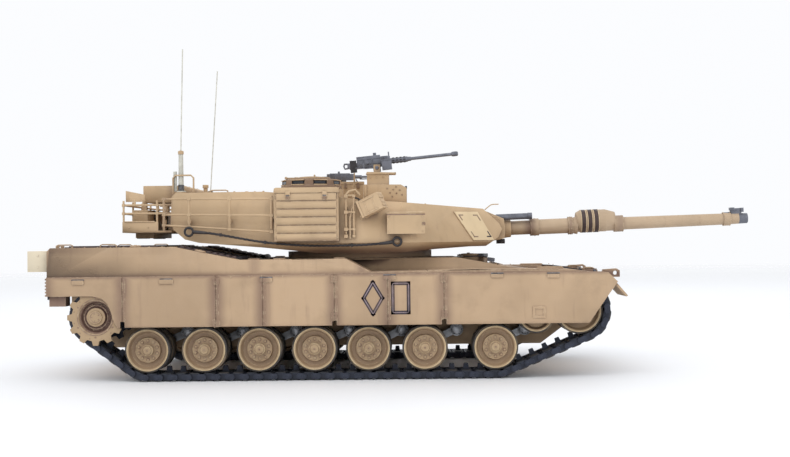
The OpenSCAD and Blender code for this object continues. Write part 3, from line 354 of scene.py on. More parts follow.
NODE_PAINT = {
    "lower_hull": "hull", "upper_hull": "hull", "hull_fittings": "hull", "driver_hatch": "hull",
    "right_skirt": "skirt", "left_skirt": "skirt", "deck_grilles": "grille", "lamps": "hull",
    "battery_pack": "cell", "drive_gearboxes": "gearbox", "control_board": "board",
    "turret_shell": "turret", "stowage_bins": "bin", "bustle_rack": "turret", "cupola": "wheel_dark",
    "turret_fittings": "turret", "commander_hatch": "turret", "loader_hatch": "turret",
    "antennas": "antenna", "tow_cables": "cable", "gun_mantlet": "turret", "gun_barrel": "barrel",
    "heavy_machine_gun": "gun", "loader_machine_gun": "gun",
}
for side in SIDES:
    NODE_PAINT[f"{side}_track"] = "track"
    NODE_PAINT[f"{side}_sprocket"] = "wheel"
    NODE_PAINT[f"{side}_idler"] = "wheel"
    NODE_PAINT[f"{side}_roller"] = "wheel"
    for i in WHEEL_NUMBERS:
        NODE_PAINT[f"{side}_wheel_{i}"] = "wheel"
        NODE_PAINT[f"{side}_arm_{i}"] = "arm"

# Width of the rounded edges of each node, in millimetres
EDGE_ROUND = {"right_track": 0.25, "left_track": 0.25, "antennas": 0.05, "tow_cables": 0.0, "bustle_rack": 0.12}


def round_edges(obj, width):
    """Rounds the sharp edges of an object and keeps its faces flat in shading."""
    bevel = obj.modifiers.new("bevel", "BEVEL")
    bevel.width = width * MM
    bevel.segments = 2
    bevel.limit_method = "ANGLE"
    bevel.angle_limit = math.radians(34)
    bevel.harden_normals = True
    bevel.use_clamp_overlap = True


def finish_cad(name, paint, edge=0.28):
    """Gives a CAD node its paint, rounded edges and smooth shading."""
    node = NODES[name]
    mesh = node.data
    mesh.materials.clear()
    mesh.materials.append(PAINT[paint])
    for polygon in mesh.polygons:
        polygon.material_index = 0
        polygon.use_smooth = True
    weld = node.modifiers.new("weld", "WELD")
    weld.merge_threshold = 0.00001
    if edge:
        round_edges(node, edge)


def paint_faces(name, paint, wanted):
    """Gives a second paint to the faces whose centre in millimetres passes the test."""
    mesh = NODES[name].data
    mesh.materials.append(PAINT[paint])
    index = len(mesh.materials) - 1
    for polygon in mesh.polygons:
        if wanted(polygon.center / MM, polygon.normal):
            polygon.material_index = index


for name, paint in NODE_PAINT.items():
    finish_cad(name, paint, EDGE_ROUND.get(name, 0.28))


# ---------------------------------------------------------------- gathered pieces

FACET = math.radians(34)


class Piece:
    """One mesh object gathered from simple solids, drawn in millimetres."""

    def __init__(self, name, body, slot):
        self.name, self.body, self.slot = name, body, slot
        self.mesh = bmesh.new()
        self.paints = []
        self.place = Matrix.Identity(4)

    def at(self, where=(0, 0, 0), turn=(0, 0, 0), side="left"):
        """Sets where the next solids go: a place, turns about X, Y and Z in degrees, and the side they are for."""
        x, y, z = (math.radians(a) for a in turn)
        self.place = (Matrix.Diagonal((1, SIDES[side], 1, 1)) @ Matrix.Translation(where)
                      @ Matrix.Rotation(z, 4, "Z") @ Matrix.Rotation(y, 4, "Y") @ Matrix.Rotation(x, 4, "X"))
        return self

    def skin(self, rings, paint):
        """A closed skin over rings that have the same number of points."""
        if paint not in self.paints:
            self.paints.append(paint)
        rows = [[self.mesh.verts.new(self.place @ Vector(p)) for p in ring] for ring in rings]
        n = len(rows[0])
        faces = [self.mesh.faces.new((a[i], a[(i + 1) % n], b[(i + 1) % n], b[i]))
                 for a, b in zip(rows, rows[1:]) for i in range(n)]
        faces += [self.mesh.faces.new(rows[0][::-1]), self.mesh.faces.new(rows[-1])]
        for face in faces:
            face.material_index = self.paints.index(paint)
            face.smooth = True

    def box(self, low, high, paint):
        (x0, y0, z0), (x1, y1, z1) = low, high
        self.skin([[(x0, y0, z), (x1, y0, z), (x1, y1, z), (x0, y1, z)] for z in (z0, z1)], paint)

    def prism(self, outline, y0, y1, paint):
        """A slab with an outline in X and Z."""
        self.skin([[(x, y, z) for x, z in outline] for y in (y0, y1)], paint)

    def tube(self, route, radius, paint, sides=10):
        """A round tube along a route; the radius may be one number or one for each point."""
        points = [Vector(p) for p in route]
        radii = radius if isinstance(radius, (list, tuple)) else [radius] * len(points)
        across = None
        rings = []
        for i, p in enumerate(points):
            ahead = (points[min(i + 1, len(points) - 1)] - points[max(i - 1, 0)]).normalized()
            if across is None:
                across = ahead.orthogonal().normalized()
            across = (across - ahead * across.dot(ahead)).normalized()
            up = ahead.cross(across)
            rings.append([p + radii[i] * (math.cos(a) * across + math.sin(a) * up)
                          for a in (2 * math.pi * k / sides for k in range(sides))])
        self.skin(rings, paint)

    def lathe(self, profile, paint, sides=24):
        """A turned solid about local X: pairs of distance along and radius."""
        self.skin([[(x, r * math.cos(a), r * math.sin(a)) for a in (2 * math.pi * k / sides for k in range(sides))]
                   for x, r in profile], paint)

    def lathe_at(self, where, profile, paint, sides=24):
        """A turned solid whose line runs along local X through a point."""
        x0, y0, z0 = where
        self.skin([[(x0 + x, y0 + r * math.cos(a), z0 + r * math.sin(a))
                    for a in (2 * math.pi * k / sides for k in range(sides))] for x, r in profile], paint)

    def ring(self, centre, radius, thick, paint, sides=28, round_sides=8):
        """A torus about local X."""
        rows = []
        for k in range(sides):
            a = 2 * math.pi * k / sides
            rows.append([self.mesh.verts.new(self.place @ Vector((
                centre + thick * math.sin(b), (radius + thick * math.cos(b)) * math.cos(a),
                (radius + thick * math.cos(b)) * math.sin(a)))) for b in
                (2 * math.pi * j / round_sides for j in range(round_sides))])
        if paint not in self.paints:
            self.paints.append(paint)
        for k in range(sides):
            a, b = rows[k], rows[(k + 1) % sides]
            for j in range(round_sides):
                face = self.mesh.faces.new((a[j], a[(j + 1) % round_sides], b[(j + 1) % round_sides], b[j]))
                face.material_index = self.paints.index(paint)
                face.smooth = True

    def bolts(self, places, radius, tall, paint, sides=6):
        """Bolt heads that stand on local +X at places given as (y, z) or (x, y, z)."""
        for p in places:
            x, y, z = p if len(p) == 3 else (0, *p)
            self.skin([[(x + dx, y + r * math.cos(a), z + r * math.sin(a))
                        for a in (2 * math.pi * k / sides for k in range(sides))]
                       for dx, r in ((-0.05, radius), (tall * 0.7, radius), (tall, radius * 0.75))], paint)

    def stud(self, where, turn, radius, tall, paint, side="left"):
        """One bolt head, with the piece's own axes moved to it."""
        self.at(where, turn, side).bolts([(0, 0)], radius, tall, paint)

    def done(self, edge=0.0):
        """Makes the object; edge is the width of its rounded edges."""
        bmesh.ops.recalc_face_normals(self.mesh, faces=self.mesh.faces)
        bmesh.ops.scale(self.mesh, vec=(MM, MM, MM), verts=self.mesh.verts)
        for line in self.mesh.edges:
            line.smooth = bool(edge) or line.calc_face_angle(0) < FACET
        data = bpy.data.meshes.new(self.name)
        self.mesh.to_mesh(data)
        self.mesh.free()
        for paint in self.paints:
            data.materials.append(PAINT[paint])
        obj = bpy.data.objects.new(self.name, data)
        bpy.context.scene.collection.objects.link(obj)
        if edge:
            round_edges(obj, edge)
        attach(obj, self.body)
        return obj


def circle(radius, count, start=0.0):
    """Evenly spaced points round a circle."""
    return [(radius * math.cos(start + 2 * math.pi * k / count), radius * math.sin(start + 2 * math.pi * k / count))
            for k in range(count)]


# ---------------------------------------------------------------- tracks

# The pitch line runs round these circles, anticlockwise seen from the right: (x, z, radius)
TRACK_CIRCLES = [(-222.7, 27, 23.2), (78.5, 27, 23.2), (150.9, 57.7, 23.8), (-265.8, 56.4, 21)]
LINKS = 80
TRACK_Y = 90


def track_stretches():
    """The arc and the straight run of each circle: (start angle, arc, straight length, circle)."""
    def heading(i):
        (x0, z0, r0), (x1, z1, r1) = TRACK_CIRCLES[i % 4], TRACK_CIRCLES[(i + 1) % 4]
        return math.atan2(z1 - z0, x1 - x0) + math.asin((r0 - r1) / math.hypot(x1 - x0, z1 - z0))

    stretches = []
    for i, (x0, z0, r0) in enumerate(TRACK_CIRCLES):
        x1, z1, r1 = TRACK_CIRCLES[(i + 1) % 4]
        length = math.sqrt((x1 - x0) ** 2 + (z1 - z0) ** 2 - (r0 - r1) ** 2)
        start = heading(i - 1)
        stretches.append((start, (heading(i) - start) % (2 * math.pi), length, (x0, z0, r0)))
    return stretches


def track_place(s, stretches):
    """(x, z, heading) at a distance along the pitch line."""
    for start, turn, length, (x, z, r) in stretches:
        if s < r * turn:
            h = start + s / r
            return x + r * math.sin(h), z - r * math.cos(h), h
        s -= r * turn
        if s < length:
            h = start + turn
            return (x + r * math.sin(h) + s * math.cos(h), z - r * math.cos(h) + s * math.sin(h), h)
        s -= length
    raise ValueError("past the end of the track")


def chamfered(x, z0, z1, cut):
    """A rectangle in X and Z with cut corners."""
    return [(-x + cut, z0), (x - cut, z0), (x, z0 + cut), (x, z1 - cut), (x - cut, z1), (-x + cut, z1),
            (-x, z1 - cut), (-x, z0 + cut)]


def draw_link(piece):
    """A shoe: two cast halves with their pads, and the guide horn between them."""
    for y0, y1 in ((73.6, 88.6), (91.4, 106.4)):
        piece.prism(chamfered(5.4, -2.3, 2.5, 1.1), y0, y1, "link")
        piece.prism(chamfered(4.3, 2.3, 3.1, 0.4), y0 + 1.6, y1 - 1.6, "track")
        outline = [(-4.6, y0 + 3), (-2.6, y0 + 0.9), (2.6, y0 + 0.9), (4.6, y0 + 3),
                   (4.6, y1 - 3), (2.6, y1 - 0.9), (-2.6, y1 - 0.9), (-4.6, y1 - 3)]
        piece.skin([[(x * k, TRACK_Y + (y - TRACK_Y), z) for x, y in outline]
                    for z, k in ((-2.2, 1.0), (-3.3, 1.0), (-3.75, 0.9))], "track")
    piece.prism([(-3.4, -2.2), (3.4, -2.2), (3.4, 2.4), (2.4, 4.2),
                 (1.9, 8.1), (-1.9, 8.1), (-2.4, 4.2), (-3.4, 2.4)],
                88.3, 91.7, "link")


def draw_joint(piece):
    """Pins and end connectors between two shoes."""
    for x in (-1.7, 1.7):
        piece.tube([(x, 71.2, 0), (x, 108.8, 0)], 0.85, "arm", 8)
    for y0, y1 in ((71.1, 73.3), (106.7, 108.9)):
        piece.prism(chamfered(4.2, -2.5, 2.5, 1.5), y0, y1, "link")
        out = y1 if y1 > TRACK_Y else y0
        piece.prism(chamfered(1.0, -1.2, 1.2, 0.4), min(out, out - 0.4), max(out, out + 0.1), "link")
    piece.prism(chamfered(3.0, -2.0, 2.0, 1.2), 88.7, 91.3, "link")


def make_track(side):
    """All the links of one track, in one mesh that stands for the CAD track."""
    stretches = track_stretches()
    total = sum(r * turn + length for _, turn, length, (_, _, r) in stretches)
    pitch = total / LINKS
    piece = Piece(f"{side}_track_links", "hull", "track_rubber")
    for k in range(LINKS):
        for part, s in ((draw_link, (k + 0.5) * pitch), (draw_joint, k * pitch)):
            x, z, h = track_place(s, stretches)
            piece.at((x, 0, z), (0, -math.degrees(h), 0), side)
            part(piece)
    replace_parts(piece.done(), f"{side}_track")


for side in SIDES:
    make_track(side)

# ---------------------------------------------------------------- running gear

WHEEL_X = (-222.7, -173.2, -125.5, -77.8, -30.9, 17.7, 78.5)
WHEEL_Z = 27
IDLER = (150.9, 57.7)
ROLLER = (113.8, 54.3)
SPROCKET = (-265.8, 56.4)


def paint_wheel(name, at, radius):
    """Dusty tyres and a pale outer rim on a double wheel."""
    def away(p):
        return math.hypot(p.x - at[0], p.z - at[1])

    paint_faces(name, "tyre", lambda p, n: away(p) > radius - 1.72)
    paint_faces(name, "rim", lambda p, n: radius - 2.6 < away(p) < radius - 1.65 and abs(p.y) > 104.7)


def detail_wheel(name, body, side, at, radius, bolt_count):
    """Hub cap, pressed rings and washers on the outer face of a wheel."""
    piece = Piece(name, body, "wheel_sand").at((at[0], TRACK_Y, at[1]), (0, 0, 90), side)
    piece.ring(16.45, 2.5, 0.22, "wheel")
    piece.ring(15.6, 4.3, 0.25, "wheel")
    piece.ring(12.35, 10.5, 0.3, "wheel")
    piece.ring(15.1, radius - 2.1, 0.25, "rim", 40)
    piece.bolts([(16.5, 0, 0)], 0.9, 0.5, "wheel_dark", 8)
    if bolt_count:
        for y, z in circle(8.3, bolt_count, math.pi / bolt_count):
            piece.lathe_at((12.3, y, z), [(0, 1.5), (0.3, 1.5), (0.45, 1.3)], "wheel_dark", 12)
    piece.bolts([(11.75, y, z) for y, z in circle(12.4, 4, 0.6)], 0.45, 0.5, "wheel_dark", 6)
    piece.done()


for side in SIDES:
    for i in WHEEL_NUMBERS:
        at = (WHEEL_X[i - 1], WHEEL_Z)
        paint_wheel(f"{side}_wheel_{i}", at, 19.7)
        detail_wheel(f"{side}_wheel_{i}_face", f"{side}_wheel_{i}", side, at, 19.7, 10)
        pivot = Piece(f"{side}_arm_{i}_bolts", f"{side}_arm_{i}", "arm_metal")
        pivot.at((at[0] + 28.7, 69, 40), (0, 0, 90), side)
        pivot.ring(1.6, 4.5, 0.3, "arm")
        pivot.bolts([(1.45, y, z) for y, z in circle(4.5, 6)], 0.6, 0.6, "arm_dark")
        pivot.at((at[0] + 14, 67.8, 33.5), (0, 0, 90), side)
        pivot.box((0, -4, -1.2), (0.5, 4, 1.2), "arm_dark")
        pivot.done()
    paint_wheel(f"{side}_idler", IDLER, 20.3)
    paint_wheel(f"{side}_roller", ROLLER, 16)
    detail_wheel(f"{side}_idler_face", f"{side}_idler", side, IDLER, 20.3, 10)
    detail_wheel(f"{side}_roller_face", f"{side}_roller", side, ROLLER, 16, 0)

    def from_axle(p):
        return math.hypot(p.x - SPROCKET[0], p.z - SPROCKET[1])

    paint_faces(f"{side}_sprocket", "link", lambda p, n: abs(p.y) < 109.2)
    paint_faces(f"{side}_sprocket", "dish", lambda p, n: from_axle(p) < 14.45 and 100 < abs(p.y) < 109.5)
    hub = Piece(f"{side}_sprocket_face", f"{side}_sprocket", "track_rubber")
    hub.at((SPROCKET[0], 68, SPROCKET[1]), (0, 0, 90), side)
    hub.ring(44, 15.3, 0.4, "dish", 40)
    hub.bolts([(43.95, y, z) for y, z in circle(17.2, 6, math.radians(30))], 1.0, 0.1, "wheel_dark", 8)
    hub.bolts([(43.9, y, z) for y, z in circle(18.9, 12, math.radians(15))], 0.5, 0.35, "wheel_dark")
    hub.ring(41.2, 10.2, 0.3, "dish")
    hub.ring(37.2, 12.0, 0.35, "dish")
    hub.ring(43.7, 4.4, 0.25, "dish")
    hub.bolts([(43.7, y, z) for y, z in circle(3.2, 5)], 0.5, 0.35, "wheel_dark")
    hub.done()

# ---------------------------------------------------------------- skirts

SKIRT_Y = 114.2
HINGES = [(-204, 86.5), (-118, 87), (-12, 88), (80, 88.4), (128, 88), (-280, 86.5)]
LATCHES = [(-161, 86.6), (-161, 50.5), (-59.7, 87.5), (-59.7, 55), (34.5, 87), (34.5, 55.5)]


def stroke(piece, points, width, y, thick, paint):
    """A flat painted line through points in X and Z, with square ends."""
    half = width / 2
    for (x0, z0), (x1, z1) in zip(points, points[1:]):
        d = Vector((x1 - x0, z1 - z0)).normalized() * half
        across = Vector((-d.y, d.x))
        a, b = Vector((x0, z0)) - d, Vector((x1, z1)) + d
        piece.prism([tuple(a + across), tuple(a - across), tuple(b - across), tuple(b + across)], y, y + thick, paint)


for side in SIDES:
    skirt = Piece(f"{side}_skirt_hardware", "hull", "hull_sand").at(side=side)
    for x, z in HINGES:
        for dx in (-4.2, -1.4, 1.4, 4.2):
            skirt.box((x + dx - 1, SKIRT_Y + 0.5, z - 1.3), (x + dx + 1, SKIRT_Y + 0.78, z + 1.7), "skirt")
        skirt.tube([(x - 5.4, SKIRT_Y + 0.2, z + 2.3), (x + 5.4, SKIRT_Y + 0.2, z + 2.3)], 0.55, "arm_dark")
    for x, z in LATCHES:
        skirt.tube([(x - 1.4, SKIRT_Y + 0.2, z - 4), (x - 1.4, SKIRT_Y + 0.2, z + 4)], 0.5, "skirt")
        for dz in (-2.4, 0, 2.4):
            skirt.box((x - 2.6, SKIRT_Y + 0.4, z + dz - 0.8), (x + 2.2, SKIRT_Y + 0.75, z + dz + 0.8), "wheel_dark")
    for x0, x1 in ((-300, -250), (-238, -166), (-156, -125), (-117, -64), (-55, -18), (-10, 30), (40, 160)):
        count = max(2, round((x1 - x0) / 34))
        for k in range(count):
            x = x0 + (x1 - x0) * (k + 0.5) / count
            skirt.stud((x, SKIRT_Y, 90), (0, 0, 90), 0.65, 0.4, "skirt", side)
    skirt.at(side=side)
    skirt.tube([(169, SKIRT_Y - 1, 91.2), (182.2, SKIRT_Y - 1, 83.2), (158.6, SKIRT_Y - 1, 48.4)], 0.5, "skirt", 6)
    skirt.done()

    mark = Piece(f"{side}_recognition_mark", "hull", "hull_sand").at(side=side)
    diamond = [(-26.5, 84), (-18.5, 70.5), (-26.5, 57), (-34.5, 70.5), (-26.5, 84)]
    square = [(-9.5, 83), (4, 83), (4, 58), (-9.5, 58), (-9.5, 83)]
    for shape in (diamond, square):
        stroke(mark, shape, 3.2, SKIRT_Y, 0.08, "mark")
        stroke(mark, shape, 0.7, SKIRT_Y + 0.07, 0.04, "mark_line")
    mark.done()

# ---------------------------------------------------------------- hull

DECK_Z = 116.5
ROOF_Z = 104
REAR_X = -307.5


def handle(piece, a, b, out, radius, paint):
    """A grab handle between two points that stands out along a vector."""
    a, b, out = Vector(a), Vector(b), Vector(out)
    lean = (b - a) * 0.12
    piece.tube([a, a + out * 0.7, a + out + lean, b + out - lean, b + out * 0.7, b], radius, paint, 8)


deck = Piece("deck_hardware", "hull", "hull_sand")
for side in SIDES:
    deck.at(side=side)
    for x in (-232, -176):
        deck.at((x, 105.5, DECK_Z if x < -200 else 111.6), (0, -90 if x < -200 else -78, 0), side)
        deck.lathe([(-0.5, 5), (0.9, 5), (1.5, 4.2), (1.5, 1.5), (2.0, 1.2)], "hull", 20)
        deck.bolts([(1.4, y, z) for y, z in circle(3.1, 6)], 0.45, 0.4, "hull")
    deck.at(side=side)
    for x in (-300, -262):
        handle(deck, (x, 108, DECK_Z), (x + 14, 108, DECK_Z), (0, 0, 2.6), 0.55, "hull")
    for x0, x1, y in ((-300, -210, 101), (-300, -210, 33.5)):
        for k in range(9):
            deck.stud((x0 + (x1 - x0) * k / 8, y, DECK_Z), (0, -90, 0), 0.6, 0.5, "hull", side)
    deck.at(side=side)
    for x in (-134, -112, -60):
        deck.box((x, 96, ROOF_Z + 0.4), (x + 9, 108, ROOF_Z + 1.5), "hull")
    for x in (5, 45, 110, 150):
        for y in (70, 107):
            deck.stud((x, y, 93.8), (0, -90, 0), 0.6, 0.6, "hull", side)
    deck.at(side=side)
    deck.box((118, 74, 93.2), (140, 88, 94.6), "hull")
    deck.tube([(118, 81, 94.7), (140, 81, 94.7)], 0.5, "hull", 8)
    # Lifting ring on the glacis and a row of bolts behind the splash rail
    for y in (14, 36, 56):
        deck.stud((88.5, y, 96.9), (0, -76, 0), 0.8, 0.7, "hull", side)
    deck.at((140, 44, 89), (0, -82, 0), side)
    deck.ring(1.2, 3.2, 0.7, "hull", 20)
    # Crumpled black cloth over the sloping part of the deck
    deck.at(side=side)
    for k in range(11):
        x = -196 + 7.6 * k
        z = 114.6 - 0.17 * (x + 199) - (0.9, 0, 0.5, 0.2)[k % 4]
        deck.tube([(x, 62, z - 1), (x + 3, 80, z - 0.2), (x - 2, 92, z - 0.8), (x, 101, z - 1.6)],
                  (2.6, 3.3, 2.4)[k % 3], "cloth", 12)
for y in (-40, -20, 0, 20, 40):
    deck.stud((170, y, 84.9), (0, -82, 0), 0.8, 0.7, "hull")
deck.at()
# Driver's periscopes and the wiper in front of them
for a in (-28, 0, 28):
    deck.at((62, 0, 0), (0, 0, a))
    deck.box((12.2, -4.9, 103.6), (17.2, 4.9, 106.6), "gun")
    deck.box((17.1, -4, 104.2), (17.4, 4, 106.2), "glass")
deck.at((81, -16, 99.3), (0, 8, 0))
deck.box((-3, -3, 0), (3.4, 3, 3.6), "gun")
deck.box((3.3, -2.3, 0.8), (3.7, 2.3, 3.0), "glass")
deck.at()
deck.tube([(77, -20, 103.5), (72, -24, 104.4), (64, -27, 104.5), (56, -28, 104.4)], 0.6, "cable", 8)
deck.done()

front = Piece("front_hardware", "hull", "hull_sand")
for side in SIDES:
    front.at(side=side)
    # Small lamp under a low hoop, and its cable
    for y in (45, 55):
        front.tube([(163, y, 86.4), (163.6, y, 93.4), (170, y, 93.4), (174.6, y, 91), (174.6, y, 85)], 0.5, "hull", 8)
    front.tube([(164, 46, 91), (158, 48, 92), (152, 54, 92.8), (144, 60, 93.6), (138, 64, 93.8)], 0.5, "cable", 8)
    front.at((171.2, 50, 88.9), side=side)
    front.lathe([(0, 3.5), (3.6, 3.5), (3.6, 3.1), (0, 3.1)], "gun", 24)
    # Bolts and hinge of the mudflap, and the tow shackle with its pin
    front.at(side=side)
    front.tube([(180, 67, 81.9), (180, 111, 81.9)], 0.7, "arm_dark", 8)
    for y in (70, 80, 90, 100, 108):
        front.at((184.7, y, 78.6), (0, 53, 0), side)
        front.bolts([(0.1, 0, 0)], 0.7, 0.5, "hull")
    front.at(side=side)
    front.tube([(175, 34, 68.6), (175, 42, 68.6)], 1.9, "arm_dark", 12)
    front.tube([(175, 34.6, 68.6), (179, 34.6, 65.5), (182.5, 36, 62.5), (183.6, 38, 61.6), (182.5, 40, 62.5),
                (179, 41.4, 65.5), (175, 41.4, 68.6)], 0.9, "arm_dark", 8)
    for z in (44, 54):
        front.stud((146 + (z - 44) * 1.2, 52, z), (0, 36, 0), 1.0, 0.8, "hull", side)
front.done()

rear = Piece("rear_hardware", "hull", "hull_sand")
for side in SIDES:
    rear.at(side=side)
    rear.box((REAR_X - 1, 78, 96), (REAR_X, 100, 112), "hull")
    for y in (80, 98):
        for z in (98, 110):
            rear.stud((REAR_X - 1, y, z), (0, 0, 180), 0.8, 0.6, "hull", side)
    rear.at((REAR_X - 3, 67, 103), (0, 0, 180), side)
    rear.lathe([(0, 4.2), (1.3, 4.2), (1.5, 3.9), (1.5, 3.2)], "gun", 20)
    rear.lathe([(1.3, 3.1), (2.2, 2.4), (2.4, 1.2)], "red", 20)
    rear.at(side=side)
    handle(rear, (REAR_X, 50, 114), (REAR_X, 60, 114), (-3, 0, 0), 0.6, "hull")
    rear.tube([(REAR_X - 6.6, 29, 84), (REAR_X - 6.6, 35, 84)], 1.3, "arm_dark", 10)
    rear.tube([(REAR_X - 6.4, 29.6, 84), (REAR_X - 9.6, 30.4, 81), (REAR_X - 10.6, 32, 79.6),
               (REAR_X - 9.6, 33.6, 81), (REAR_X - 6.4, 34.4, 84)], 0.8, "arm_dark", 8)
    # Rubber dust flap and the toothed edge of the rear skirt
    rear.box((REAR_X + 0.2, 62, 72), (REAR_X + 1.4, 111, 88), "track")
    for k in range(6):
        rear.box((REAR_X - 1.2, 108.4, 74.8 + 2.8 * k), (REAR_X + 0.4, 113.6, 76.2 + 2.8 * k), "hull")
    rear.box((-306, 96, 66), (-292, 110, 74.6), "hull_dark")
rear.at()
for k in range(8):
    rear.stud((REAR_X - 3.3, -47 + 94 * k / 7, 110.6), (0, 0, 180), 0.7, 0.5, "hull")
rear.at()
for z in (100, 110):
    rear.at((-317, -106, z), (0, 0, -90))
    rear.bolts([(0, 0)], 0.9, 0.4, "cream", 8)
rear.done()

# ---------------------------------------------------------------- second paints of CAD nodes

paint_faces("hull_fittings", "cream", lambda p, n: p.x < -307.6 and -106.1 < p.y < -77.9 and p.z > 95.9)
paint_faces("lamps", "lens", lambda p, n: p.x > 171.3 and math.hypot(abs(p.y) - 50, p.z - 88.9) < 3.2)
paint_faces("lamps", "red", lambda p, n: p.x < -307.6)
paint_faces("cupola", "glass", lambda p, n: 172 < p.z < 175.2 and 25.2 < math.hypot(p.x + 85, p.y + 33) < 26.4
            and abs(n.z) < 0.3)
paint_faces("turret_fittings", "glass", lambda p, n: -8 < p.x < -6.9 and -43 < p.y < -25 and 158 < p.z < 168.5)


GUN_ROOT = Vector((93.5, 0, 130.2))
GUN_RISE = 1.75
gun_line = Vector((math.cos(math.radians(GUN_RISE)), 0, math.sin(math.radians(GUN_RISE))))
gun_up = Vector((-gun_line.z, 0, gun_line.x))


def along_gun(p):
    """(distance along the gun's line, height above it) of a point."""
    return (p - GUN_ROOT).dot(gun_line), (p - GUN_ROOT).dot(gun_up)


def on_coax(p, n):
    d, up = along_gun(p)
    return -7 < d < 29 and math.hypot(p.y + 8, up - 10.6) < 3.1


def on_band(p, n):
    d, up = along_gun(p)
    return 74.9 < d < 90.7 and math.hypot(p.y, up - 3.6) > 10.6


def on_muzzle(p, n):
    return along_gun(p)[0] > 224 or along_gun(p)[0] > 209.8 and along_gun(p)[1] > 5.5


paint_faces("gun_mantlet", "gun", on_coax)
paint_faces("gun_mantlet", "cable", lambda p, n: p.x > 87.9 and p.z < 120.4 and abs(p.y) < 2.4)
paint_faces("gun_barrel", "band", on_band)
paint_faces("gun_barrel", "gun", on_muzzle)

# ---------------------------------------------------------------- turret

CUPOLA = (-85, -33)
LOADER = (-84, 36)
FOOT, CORNER = Vector((98, 21, 118)), Vector((8, 92, 118))
ROOF_CORNER = Vector((73, 19, 166))


def roof_z(x):
    """Height of the turret roof at a place along X."""
    if x < -124:
        return 164.4
    return 154.5 + (-15 - x) * 9.9 / 109 if x < -15 else 154.5 - (x + 15) * 6 / 89


turret = Piece("turret_hardware", "turret", "turret_sand")
for side in SIDES:
    turret.at(side=side)
    for x, y in ((-150, 77), (-124, 78), (-40, 76), (20, 56)):
        turret.stud((x, y, roof_z(x)), (0, -90, 0), 0.9, 0.9, "turret", side)
    for x in (-192, -154):
        for y in (8, 32):
            turret.stud((x, y, 165.8), (0, -90, 0), 0.8, 0.7, "turret", side)
    for x in (-192, -134):
        for y in (41, 61):
            turret.stud((x, y, 165.2), (0, -90, 0), 0.8, 0.7, "turret", side)
    turret.at(side=side)
    # Handles, lifting lugs and the clips of the side rails
    handle(turret, (-176, 50, 165.2), (-160, 50, 165.2), (0, 0, 2.4), 0.6, "turret")
    for x in (-211, -188.5, -152.3, -115):
        w, out = 87.2 + (x + 211) * 0.0875, (x + 211) / 96
        for z in (158.6 - 1.2 * out, 144.8 - 1.8 * out, 135.5 - 6.8 * out):
            turret.box((x - 1.5, w - 1.3, z - 1.2), (x + 1.5, w + 1.2, z + 1.2), "turret")
    for z in (124, 130, 145, 159):
        turret.box((-51.6, 91.6, z - 1.4), (-48.4, 94.8, z + 1.4), "turret")
        turret.box((-44.2, 91.8, z - 1), (-41.8, 94.4, z + 1), "turret")
    turret.tube([(-46.5, 93.1, 122), (-46.5, 93.1, 140), (-44, 92, 150), (-40, 91, 154)], 0.7, "turret", 8)
    turret.tube([(-50, 93, 160), (-47, 92, 163.4), (-42, 89, 164.6), (-38, 88, 160)], 1.1, "turret", 8)
    turret.tube([(-43, 92, 158), (-39, 90, 156.6), (-37, 89.4, 153)], 0.8, "cable", 8)
    # Bin latches, hinge and strap
    for x in (-100, -68):
        turret.box((x - 1.4, 102, 156), (x + 1.4, 102.8, 160.4), "wheel_dark")
        turret.tube([(x - 1.6, 102.6, 159.6), (x + 1.6, 102.6, 159.6)], 0.5, "arm_dark", 8)
    turret.tube([(-112, 85, 166.5), (-56, 85, 166.5)], 0.7, "turret", 8)
    for x in (-108, -84, -60):
        turret.box((x - 2, 85.4, 166.7), (x + 2, 91, 167.2), "turret")
    for x in (-111, -57):
        for z in (123, 158):
            turret.stud((x, 101, z), (0, 0, 90), 0.7, 0.6, "turret", side)
    # Side box in front: hinge line, latch and bolts
    turret.at(side=side)
    turret.tube([(-13.6, 98.9, 144.2), (18.8, 98.9, 144.2)], 0.45, "turret", 8)
    turret.box((-14.2, 98.2, 141.8), (19.2, 98.6, 142.7), "hull_dark")
    turret.box((16.6, 98.2, 133), (19.4, 98.8, 135.4), "wheel_dark")
    for x in (-12, 17):
        for z in (127.4, 140):
            turret.stud((x, 98.4, z), (0, 0, 90), 0.6, 0.4, "turret", side)
# Bolts on the sight housing and its hinge
turret.at()
for x, z in ((-6, 163), (-3, 166), (-9, 166.6), (-12, 163.6), (-6.4, 169), (-14.6, 167.6), (-1, 161.6), (-10, 160)):
    turret.stud((x, -46, z), (0, 0, -90), 0.75, 0.5, "wheel_dark")
for x in (-30, -24, -18):
    turret.stud((x, -44, 178), (0, 0, -90), 0.7, 0.6, "turret")
turret.at()
turret.tube([(-34, -46.4, 156.6), (-34, -46.4, 171.2)], 0.7, "turret", 8)
turret.box((2.8, -45.6, 153.4), (3.3, -43.4, 169.6), "turret")
turret.box((2.8, -24.6, 153.4), (3.3, -22.4, 169.6), "turret")
turret.box((1.6, -45.6, 167.8), (3.6, -22.4, 169.6), "gun")
turret.tube([(-7, -45, 182), (-7, -23, 182)], 0.6, "turret", 8)
